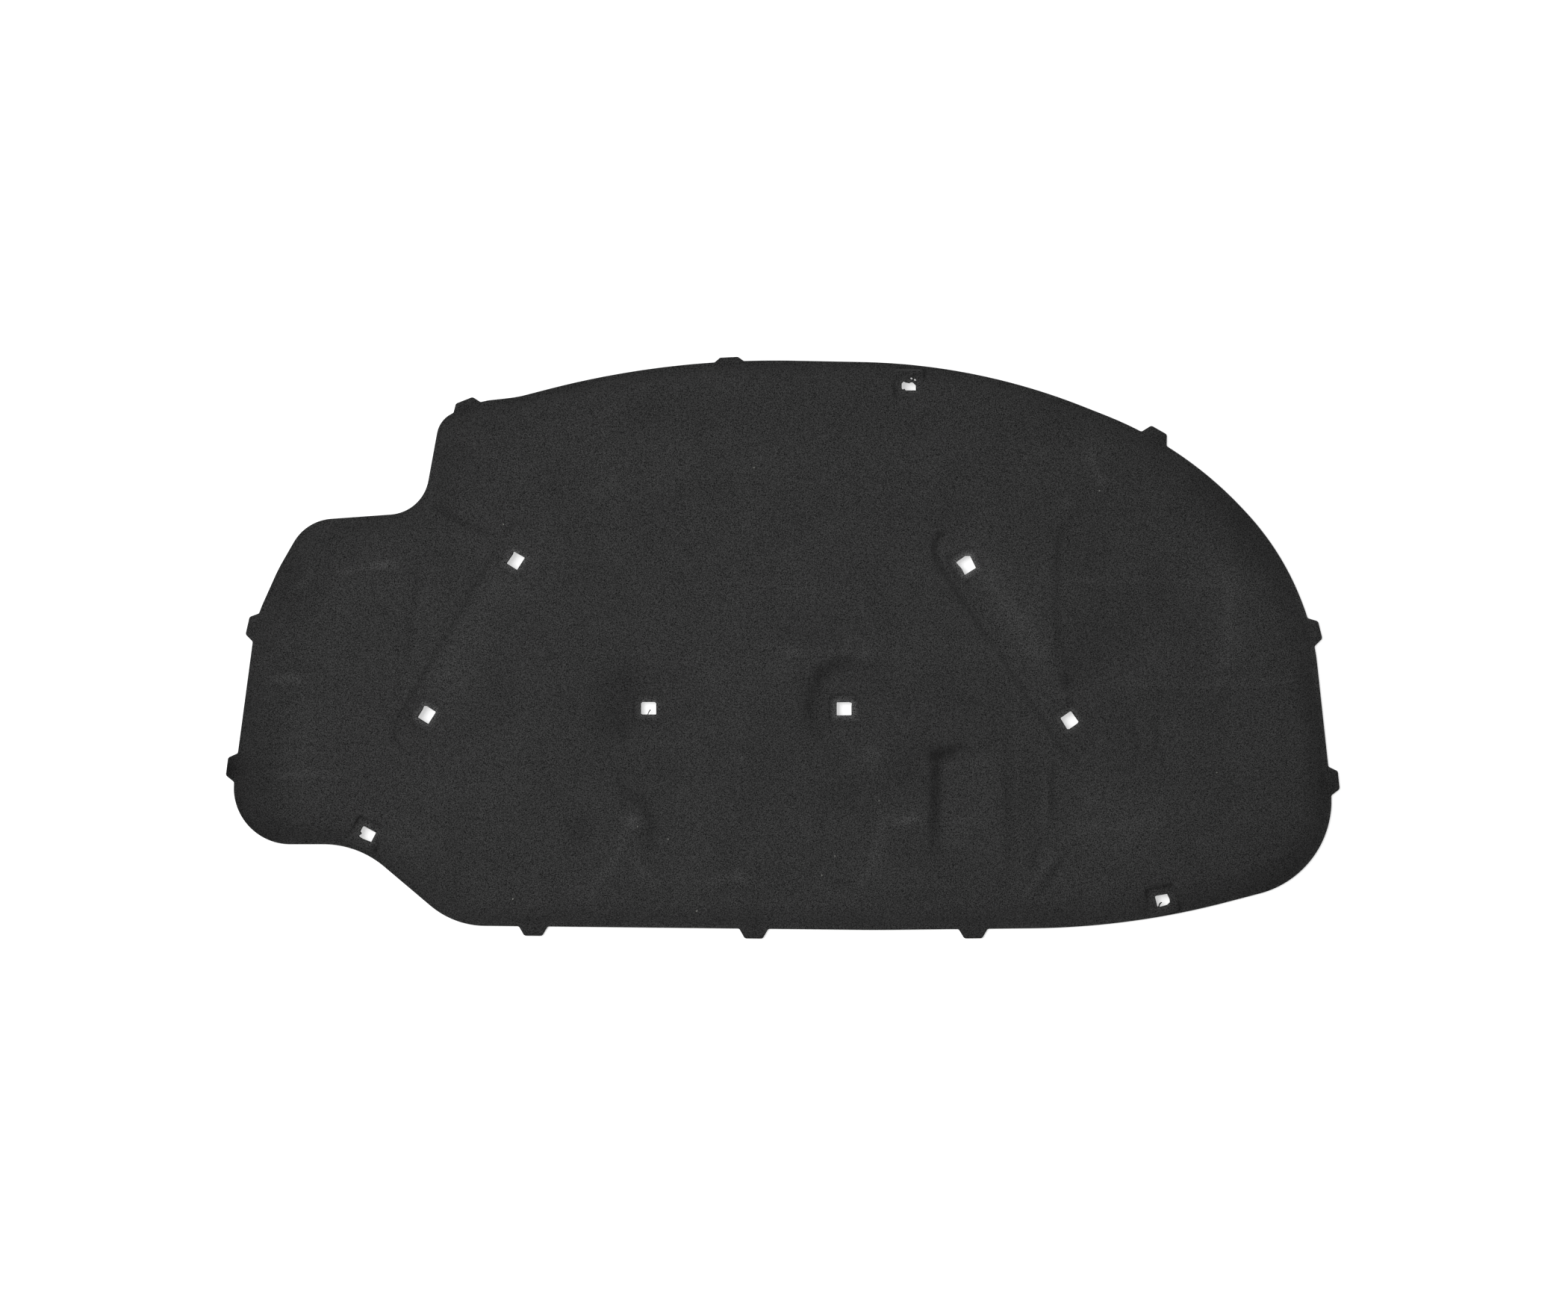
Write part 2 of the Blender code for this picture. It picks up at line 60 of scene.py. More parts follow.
camera_data = bpy.data.cameras.new("camera")
camera_data.sensor_width = SENSOR
camera_data.lens = SENSOR * CAMERA_HEIGHT / FRAME_WIDTH
camera = bpy.data.objects.new("camera", camera_data)
camera.location = CAMERA_PLACE
bpy.context.scene.collection.objects.link(camera)
bpy.context.scene.camera = camera
print("Lens in mm:", round(camera_data.lens, 1))

# %% [markdown]
# The plan of the pad is drawn again from its own sizes. A corner list with a radius for each
# corner is what a pattern maker would draw, and it stays easy to change. The scene needs far more
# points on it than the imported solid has, so the curves look round from close by.

# %% Sizes of the plan
LENGTH = 1300 * MM
WIDTH = 680 * MM
LEFT, RIGHT = -LENGTH / 2, LENGTH / 2
BOTTOM, TOP = -WIDTH / 2, WIDTH / 2

# Corner x, corner y and corner radius, clockwise from the low left
OUTLINE = [
    (LEFT - 0.5 * MM, BOTTOM + 110.5 * MM, 66 * MM),
    (LEFT + 34.5 * MM, TOP - 307 * MM, 150 * MM),
    (LEFT + 61 * MM, TOP - 248 * MM, 200 * MM),
    (LEFT + 93.5 * MM, TOP - 191.3 * MM, 55 * MM),
    (LEFT + 229.5 * MM, TOP - 181.6 * MM, 48 * MM),
    (LEFT + 249.5 * MM, TOP - 72 * MM, 32 * MM),
    (LEFT + 300 * MM, TOP - 51.6 * MM, 60 * MM),
    (LEFT + 340 * MM, TOP - 47.2 * MM, 150 * MM),
    (LEFT + 506 * MM, TOP - 4.2 * MM, 1050 * MM),
    (5 * MM, TOP - 4.4 * MM, 600 * MM),
    (RIGHT - 424 * MM, TOP - 8.7 * MM, 740 * MM),
    (RIGHT - 180 * MM, TOP - 105 * MM, 440 * MM),
    (RIGHT - 68 * MM, TOP - 225.3 * MM, 320 * MM),
    (RIGHT - 29.7 * MM, TOP - 320 * MM, 290 * MM),
    (RIGHT + 1 * MM, BOTTOM + 77.5 * MM, 112 * MM),
    (RIGHT - 243.5 * MM, BOTTOM + 13.7 * MM, 930 * MM),
    (110 * MM, BOTTOM + 10.4 * MM, 2000 * MM),
    (LEFT + 266 * MM, BOTTOM + 15.7 * MM, 100 * MM),
    (LEFT + 153.5 * MM, BOTTOM + 110.7 * MM, 110 * MM),
]

# The tabs: width at the root and at the tip, then the place on the edge and the depth of each
TAB_ROOT = 34 * MM
TAB_TIP = 21 * MM
TAB_ROOT_RADIUS = 3 * MM
TAB_TIP_RADIUS = 4 * MM
TABS = {
    "left_low": (LEFT + 10 * MM, TOP - 480 * MM, 10.6 * MM),
    "left_high": (LEFT + 33 * MM, TOP - 316 * MM, 10 * MM),
    "notch": (LEFT + 281 * MM, TOP - 58.5 * MM, 9 * MM),
    "top": (-62.5 * MM, TOP - 4.5 * MM, 5.2 * MM),
    "right_top": (RIGHT - 215 * MM, TOP - 94 * MM, 12 * MM),
    "right_mid": (RIGHT - 32 * MM, TOP - 321.5 * MM, 11 * MM),
    "right_low": (RIGHT - 11 * MM, TOP - 496 * MM, 10.5 * MM),
    "bottom_right": (223 * MM, BOTTOM + 11 * MM, 11 * MM),
    "bottom_mid": (-34 * MM, BOTTOM + 11.5 * MM, 11.5 * MM),
    "bottom_left": (LEFT + 359 * MM, BOTTOM + 14 * MM, 11 * MM),
}

# The clip holes: x, y and turn in degrees, then the size of each and of the land around it
CLIP_HOLES = {
    "top": (RIGHT - 502.7 * MM, TOP - 32 * MM, 0),
    "groove_left_high": (-312 * MM, 102 * MM, 58),
    "groove_right_high": (214 * MM, 97 * MM, -58),
    "basin_left": (-156 * MM, -70 * MM, 0),
    "basin_right": (72 * MM, -71 * MM, 0),
    "groove_left_low": (-416 * MM, -78 * MM, 56),
    "groove_right_low": (335 * MM, -84 * MM, -56),
    "corner_left": (LEFT + 165 * MM, BOTTOM + 123 * MM, -26),
    "corner_right": (RIGHT - 207 * MM, BOTTOM + 46 * MM, 14),
}
HOLE_LENGTH = 18 * MM
HOLE_WIDTH = 16 * MM
LAND_MARGIN = 6.5 * MM
LAND_RADIUS = 3 * MM
POCKET_SLOPE = 3.5 * MM
POCKET_DEPTH = 1.3 * MM

print("Clip holes:", len(CLIP_HOLES), "and tabs:", len(TABS))

# %% [markdown]
# Every corner of the list becomes an arc. A bevel modifier rounds all corners by one width, and
# here each has its own radius, so the arcs are worked out.

# %% Rounded corners
ARC_STEP = math.radians(9)
EDGE_SPACING = 4 * MM


def reach_of(before, corner, after, radius):
    """How far from a corner the arc that rounds it begins."""
    return radius / math.tan((before - corner).angle(after - corner) / 2)


def fillet(before, corner, after, reach):
    """Points of the arc that rounds one corner and begins at the given reach from it."""
    back = (before - corner).normalized()
    ahead = (after - corner).normalized()
    half = back.angle(ahead) / 2
    radius = reach * math.tan(half)
    centre = corner + (back + ahead).normalized() * radius / math.sin(half)
    first = corner + back * reach - centre
    turn = first.angle_signed(corner + ahead * reach - centre)
    steps = max(math.ceil(abs(turn) / ARC_STEP), math.ceil(abs(turn) * radius / EDGE_SPACING))
    points = []
    for step in range(steps + 1):
        angle = -turn * step / steps
        cosine, sine = math.cos(angle), math.sin(angle)
        turned = Vector((first.x * cosine - first.y * sine, first.x * sine + first.y * cosine))
        points.append(centre + turned)
    return points


def rounded_loop(corners):
    """A closed loop whose corners are rounded. Two arcs that meet share the side between them."""
    places = [Vector((x, y)) for x, y, radius in corners]
    count = len(places)
    around = [(places[i - 1], places[i], places[(i + 1) % count]) for i in range(count)]
    reaches = [reach_of(*three, corner[2]) for three, corner in zip(around, corners)]
    loop = []
    for index, (before, here, after) in enumerate(around):
        reach = reaches[index]
        back_share = reach / (reach + reaches[index - 1])
        ahead_share = reach / (reach + reaches[(index + 1) % count])
        back_room = (before - here).length * back_share
        ahead_room = (after - here).length * ahead_share
        loop += fillet(before, here, after, min(reach, back_room, ahead_room))
    return loop


outline = rounded_loop(OUTLINE)
print("Points on the plain outline:", len(outline))

# %% [markdown]
# Ten small tabs stand out from the edge. Each could be a little plate joined on with a boolean,
# but the real ones are cut from the same sheet, so their corners are set into the outline itself.

# %% The edge and its tabs
FINE_SPACING = 1 * MM


def spaced(loop, spacing):
    """The closed loop with more points on each stretch that is longer than the spacing."""
    points = []
    for here, after in zip(loop, loop[1:] + loop[:1]):
        steps = max(1, math.ceil((after - here).length / spacing))
        points += [here.lerp(after, step / steps) for step in range(steps)]
    return points


def tab_points(before, root_start, root_end, after, depth):
    """The edge of one tab, from one root corner over the tip to the other."""
    along = (root_end - root_start).normalized()
    outwards = Vector((-along.y, along.x))
    middle = (root_start + root_end) / 2
    tip_start = middle - along * TAB_TIP / 2 + outwards * depth
    tip_end = middle + along * TAB_TIP / 2 + outwards * depth
    chain = [before, root_start, tip_start, tip_end, root_end, after]
    radii = [TAB_ROOT_RADIUS, TAB_TIP_RADIUS, TAB_TIP_RADIUS, TAB_ROOT_RADIUS]
    points = []
    for index, radius in enumerate(radii):
        three = chain[index : index + 3]
        points += fillet(*three, reach_of(*three, radius))
    return points


def outline_with_tabs(outline):
    """The outline with each tab standing out at its own place along the edge."""
    fine = spaced(outline, FINE_SPACING)
    lengths = np.cumsum([0.0] + [(b - a).length for a, b in zip(fine, fine[1:] + fine[:1])])
    around = lengths[-1]

    def at(distance):
        index = int(np.searchsorted(lengths, distance % around, side="right")) - 1
        part = (distance % around - lengths[index]) / (lengths[index + 1] - lengths[index])
        return fine[index].lerp(fine[(index + 1) % len(fine)], part)

    cuts = []
    for x, y, depth in TABS.values():
        nearest = min(range(len(fine)), key=lambda index: (fine[index] - Vector((x, y))).length)
        cuts.append((lengths[nearest], depth))
    kept = []
    coarse = spaced(outline, EDGE_SPACING)
    run = np.cumsum([0.0] + [(b - a).length for a, b in zip(coarse, coarse[1:])])
    clear = TAB_ROOT / 2 + 2 * TAB_ROOT_RADIUS
    for point, distance in zip(coarse, run):
        offsets = [(distance - place + around / 2) % around - around / 2 for place, depth in cuts]
        if min(abs(offset) for offset in offsets) > clear:
            kept.append((distance, [point]))
    for place, depth in cuts:
        start, end = place - TAB_ROOT / 2, place + TAB_ROOT / 2
        before, after = at(start - TAB_ROOT_RADIUS), at(end + TAB_ROOT_RADIUS)
        kept.append((place, tab_points(before, at(start), at(end), after, depth)))
    loop = []
    for distance, points in sorted(kept, key=lambda stretch: stretch[0]):
        loop += points
    return spaced(loop, EDGE_SPACING)


edge = outline_with_tabs(outline)
print("Points on the edge:", len(edge))

# %% [markdown]
# The mould gives the face its form, so the height of the face is a formula over the plan. It rolls
# down to the rim, and it has wide grooves, round basins, a sunk panel, a plateau on the left lobe
# and a recess at the bottom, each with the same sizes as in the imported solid.

# %% Sizes of the relief
LOFT = 15 * MM
RIM_THICKNESS = 3 * MM
RIM_WIDTH = 5 * MM
ROLL_MIDDLE = 26 * MM
ROLL_ENDS = 32 * MM
ENDS_START = 260 * MM
ENDS_FULL = 470 * MM

# The grooves: the holes that each joins, the depth at each, half width and wall at left and right
GROOVE_OVERRUN = 20 * MM
GROOVE_FLOOR_RISE = 0.8
GROOVES = [
    ("groove_left_high", "groove_left_low", 3 * MM, 3.5 * MM, 29 * MM, 7 * MM, 29 * MM, 10 * MM),
    ("groove_right_high", "groove_right_low", 7 * MM, 5 * MM, 31 * MM, 9 * MM, 46 * MM, 14 * MM),
]

# The basins: reach to the left, right, top and bottom, the share that is flat, and the depth
BASINS = {
    "basin_left": (80 * MM, 150 * MM, 60 * MM, 56 * MM, 0.27, 6 * MM),
    "basin_right": (58 * MM, 105 * MM, 70 * MM, 62 * MM, 0.55, 5.5 * MM),
}

PANEL = [
    (316.5 * MM, -31 * MM, 45 * MM),
    (316.5 * MM, 164 * MM, 40 * MM),
    (478 * MM, 164 * MM, 45 * MM),
    (528 * MM, 60 * MM, 60 * MM),
    (524 * MM, -31 * MM, 25 * MM),
]
PANEL_DEPTH = 2.5 * MM
PANEL_WALL = 10 * MM
PLATEAU = [
    (-590 * MM, -60 * MM, 30 * MM),
    (-590 * MM, 40 * MM, 30 * MM),
    (-548 * MM, 92 * MM, 20 * MM),
    (-430 * MM, 106 * MM, 8 * MM),
    (-436 * MM, -60 * MM, 40 * MM),
]
PLATEAU_HEIGHT = 2 * MM
PLATEAU_WALL = 11 * MM
PLATEAU_FADE = 90 * MM
RECESS_LEFT = 170 * MM
RECESS_TOP = -110 * MM
RECESS_BOTTOM = -226 * MM
RECESS_WALL = 16 * MM
RECESS_SIDE_FADE = 70 * MM
RECESS_END_FADE = 36 * MM
RECESS_DEPTH_HIGH = 8 * MM
RECESS_DEPTH_LOW = 5 * MM
SLOPE_LENGTH = 60 * MM
SLOPE_FALL = 2.5 * MM
SWELLING_X = -168 * MM
SWELLING_Y = -206 * MM
SWELLING_RADIUS = 30 * MM
SWELLING_HEIGHT = 3 * MM
print("Grooves:", len(GROOVES), "and basins:", len(BASINS))

# %% Distances on the plan
CHUNK = 3000


def plain_array(points):
    return np.array([(point[0], point[1]) for point in points], dtype=float)


def distance_to_loop(points, loop):
    """How far each point lies from a closed loop, worked out some thousand points at a time."""
    starts = plain_array(loop)
    runs = np.roll(starts, -1, axis=0) - starts
    squares = (runs * runs).sum(axis=1)
    found = []
    for first in range(0, len(points), CHUNK):
        offsets = points[first : first + CHUNK, None, :] - starts[None, :, :]
        share = np.clip((offsets * runs).sum(axis=2) / squares, 0, 1)
        found.append(np.linalg.norm(offsets - share[:, :, None] * runs, axis=2).min(axis=1))
    return np.concatenate(found)


def inside_loop(points, loop):
    """Whether each point lies inside a closed loop."""
    starts = plain_array(loop)
    ends = np.roll(starts, -1, axis=0)
    rise = np.where(starts[:, 1] == ends[:, 1], 1, ends[:, 1] - starts[:, 1])
    found = []
    for first in range(0, len(points), CHUNK):
        x, y = points[first : first + CHUNK, :1], points[first : first + CHUNK, 1:]
        crosses = (starts[:, 1] > y) != (ends[:, 1] > y)
        crossing = starts[:, 0] + (y - starts[:, 1]) * (ends[:, 0] - starts[:, 0]) / rise
        found.append((crosses & (x < crossing)).sum(axis=1) % 2 == 1)
    return np.concatenate(found)


def ease(share):
    """Rises from 0 to 1 with a soft start and a soft end."""
    share = np.clip(share, 0, 1)
    return share * share * (3 - 2 * share)


middle_apart = distance_to_loop(np.zeros((1, 2)), outline)[0]
print("The middle lies", round(middle_apart / MM), "mm from the edge")


# %% Height of the face
def roll_width(points):
    """Width of the roll from the rim up to the face, which is wider towards the ends."""
    share = ease((np.abs(points[:, 0]) - ENDS_START) / (ENDS_FULL - ENDS_START))
    return ROLL_MIDDLE + (ROLL_ENDS - ROLL_MIDDLE) * share


def groove_depth(points, groove):
    """Depth of one groove: it follows a line and has round ends and two unlike walls."""
    first, second, high_depth, low_depth, left, left_wall, right, right_wall = groove
    high, low = np.array(CLIP_HOLES[first][:2]), np.array(CLIP_HOLES[second][:2])
    along = (low - high) / np.linalg.norm(low - high)
    start = high - along * GROOVE_OVERRUN
    run = low + along * GROOVE_OVERRUN - start
    offsets = points - start
    share = np.clip(offsets @ run / (run @ run), 0, 1)
    apart = np.linalg.norm(offsets - share[:, None] * run, axis=1)
    on_right = offsets[:, 0] * run[1] - offsets[:, 1] * run[0] < 0
    reach = np.where(on_right, right, left)
    wall = np.where(on_right, right_wall, left_wall)
    depth = high_depth + (low_depth - high_depth) * ease(share)
    across = np.where(on_right, left + apart, left - apart) / (left + right)
    depth *= 1 - GROOVE_FLOOR_RISE * np.clip(across, 0, 1)
    return depth * ease((reach - apart) / wall)


def basin_depth(points, name):
    """Depth of one basin: it reaches a different way to each side of its hole."""
    left, right, top, bottom, flat, depth = BASINS[name]
    x, y = (points - np.array(CLIP_HOLES[name][:2])).T
    across = x / np.where(x < 0, left, right)
    along = y / np.where(y < 0, bottom, top)
    return depth * ease((1 - np.hypot(across, along)) / (1 - flat))


def sunk(points, corners, depth, wall):
    """Depth inside a closed loop, with a wall that follows it."""
    loop = rounded_loop(corners)
    inwards = np.where(inside_loop(points, loop), distance_to_loop(points, loop), 0)
    return depth * ease(inwards / wall)


def recess_depth(points):
    """Depth of the recess, with straight walls at the left and the top, and of its slope."""
    x, y = points[:, 0], points[:, 1]
    floor_left = RECESS_LEFT + RECESS_WALL
    side = np.clip((x - RECESS_LEFT) / RECESS_WALL, 0, 1)
    side *= 1 - ease((x - floor_left) / RECESS_SIDE_FADE)
    top = np.clip((RECESS_TOP - y) / RECESS_WALL, 0, 1)
    bottom = ease((y - RECESS_BOTTOM) / RECESS_END_FADE + 1)
    slope = SLOPE_FALL * ease(1 + (x - RECESS_LEFT) / SLOPE_LENGTH) * (x < RECESS_LEFT)
    slope += SLOPE_FALL * (x >= RECESS_LEFT) * (1 - ease((x - floor_left) / RECESS_SIDE_FADE))
    lift = ease((y - RECESS_BOTTOM) / (RECESS_TOP - RECESS_BOTTOM))
    depth = RECESS_DEPTH_LOW + (RECESS_DEPTH_HIGH - RECESS_DEPTH_LOW) * lift
    return depth * side * top * bottom + slope * ease(top) * bottom


def relief_height(points):
    """What the mould raises above the plain face, less what it sinks below it."""
    fade = ease((points[:, 1] - PLATEAU[0][1]) / PLATEAU_FADE)
    relief = sunk(points, PLATEAU, PLATEAU_HEIGHT, PLATEAU_WALL) * fade
    apart = np.linalg.norm(points - np.array((SWELLING_X, SWELLING_Y)), axis=1)
    relief += SWELLING_HEIGHT * ease(1 - apart / SWELLING_RADIUS)
    relief -= recess_depth(points) + sunk(points, PANEL, PANEL_DEPTH, PANEL_WALL)
    for groove in GROOVES:
        relief -= groove_depth(points, groove)
    for name in BASINS:
        relief -= basin_depth(points, name)
    return relief


def roll_share(points):
    """How far up the roll each point lies, from 0 on the rim to 1 on the face."""
    inwards = np.where(inside_loop(points, outline), distance_to_loop(points, outline), 0)
    share = np.clip((inwards - RIM_WIDTH) / roll_width(points), 0, 1)
    return 1 - (1 - share) ** 2


swelling_top = relief_height(np.array(((SWELLING_X, SWELLING_Y),)))[0]
print("The swelling rises", round(swelling_top / MM, 1), "mm over the face")

# %% [markdown]
# A real pad also carries what handling has left on it: soft folds, dents, ridges and creases one
# or two millimetres deep. They are pressed in as strokes, the way a sculpting brush would do it.
# Each stroke follows a few points. A wide side and a narrow side make a step, and a negative depth
# makes a ridge.

# %% Strokes
# Points in mm, depth in mm, and one width in mm, or two: at the left of the line and at the right
STROKES = [
    # Left lobe
    ([(-416, 169), (-390, 155), (-364, 140), (-334, 132)], 2.2, 9, 6),
    ([(-423, 100), (-427, 60), (-432, 21), (-434, -20)], 1.3, 8, 4),
    ([(-475, 95), (-461, 97), (-452, 96)], -1.2, 9),
    ([(-513, 88), (-486, 93), (-458, 97)], -1.6, 9),
    ([(-568, 66), (-552, 84), (-544, 92)], -1.4, 8),
    ([(-594, -36), (-578, -36), (-556, -36)], -1.4, 8, 10),
    ([(-605, -148), (-550, -147), (-494, -148)], -1.8, 7, 10),
    ([(-274, 6), (-260, -20)], 1.2, 6, 5),
    ([(-375, 205)], -1.8, 25),
    ([(-204, 248)], -1.3, 16),
    ([(-212, 268), (-186, 276)], -1.2, 12),
    # Around the left basin and the swelling
    ([(-180, -8), (-178, -35), (-174, -60)], 1.2, 26, 14),
    ([(-193, -147), (-180, -172), (-160, -186), (-150, -206), (-156, -232)], 2.2, 18, 8),
    ([(-178, -206), (-188, -232), (-200, -258), (-222, -280)], -0.9, 11),
    ([(-176, -236), (-160, -262), (-140, -286)], -1.0, 11),
    ([(-232, -214)], 1.6, 33),
    ([(-292, -300)], -1.5, 9),
    # Middle
    ([(-92, -274), (-72, -270), (-52, -266)], -1.1, 9),
    ([(-138, -155), (-95, -150)], 0.6, 25),
    ([(40, -178), (92, -178)], 0.8, 32),
    ([(88, -14), (66, -17), (48, -27), (38, -45)], 1.7, 16, 11),
    ([(38, -45), (34, -66), (37, -92)], 0.8, 18, 12),
    ([(69, 4), (68, -14)], 1.0, 5),
    ([(128, -76), (150, -97)], -1.0, 7),
    # Recess and the ridge beside it
    ([(177, -232), (180, -172), (180, -125)], 1.6, 9, 20),
    ([(170, -125), (190, -124), (208, -118)], 1.7, 8, 10),
    ([(126, -200), (145, -200), (163, -199)], -1.5, 8),
    ([(114, -180), (118, -205), (114, -232), (108, -256), (82, -282)], -0.8, 12),
    ([(60, -272), (86, -279)], 1.8, 7, 9),
    ([(264, -90), (264, -180), (264, -272)], 1.6, 16, 9),
    ([(110, -292), (190, -290), (262, -286)], 1.0, 9),
    # Right side
    ([(328, -26), (336, -52)], 2.0, 12, 10),
    ([(313, -76), (322, -66), (338, -60)], 1.2, 4),
    ([(357, 233), (368, 207), (374, 186)], -2.2, 10),
    ([(372, 196), (392, 188)], -1.4, 9),
    ([(290, 79), (425, 79), (560, 72)], -0.9, 6),
    ([(370, -41), (470, -43), (600, -40)], -1.1, 8, 10),
    ([(519, 108), (524, 70), (520, 10), (508, -24)], -0.7, 10, 12),
    ([(340, 148), (322, 128), (319, 60), (320, -10), (346, -32)], 1.1, 7, 6),
    ([(-455, -84), (-453, -106), (-441, -121), (-427, -124), (-412, -121), (-403, -108)], 1.4, 4, 5),
    ([(-386, -130), (-368, -112), (-352, -84)], 0.9, 5),
    ([(435, -83), (439, -106), (428, -135)], 1.5, 9, 7),
    ([(405, -80), (413, -109), (420, -132)], 1.4, 8, 7),
    ([(318, -128), (316, -165), (318, -202)], 1.5, 8, 6),
    ([(307, -147), (309, -202)], -1.4, 6),
    ([(370, -115), (378, -104)], -1.2, 7),
    ([(283, -287), (300, -266), (318, -243)], -1.7, 7),
    ([(300, -289), (318, -262), (332, -240)], 1.6, 6, 7),
    ([(322, -262), (338, -284)], -1.3, 6),
    ([(290, -258), (304, -222)], 1.6, 6),
    ([(573, -98)], -1.6, 12),
    ([(330, -207), (390, -209), (440, -207)], -1.2, 14),
    ([(186, -201), (212, -202), (250, -203)], -1.2, 8),
]
print("Strokes on the face:", len(STROKES))
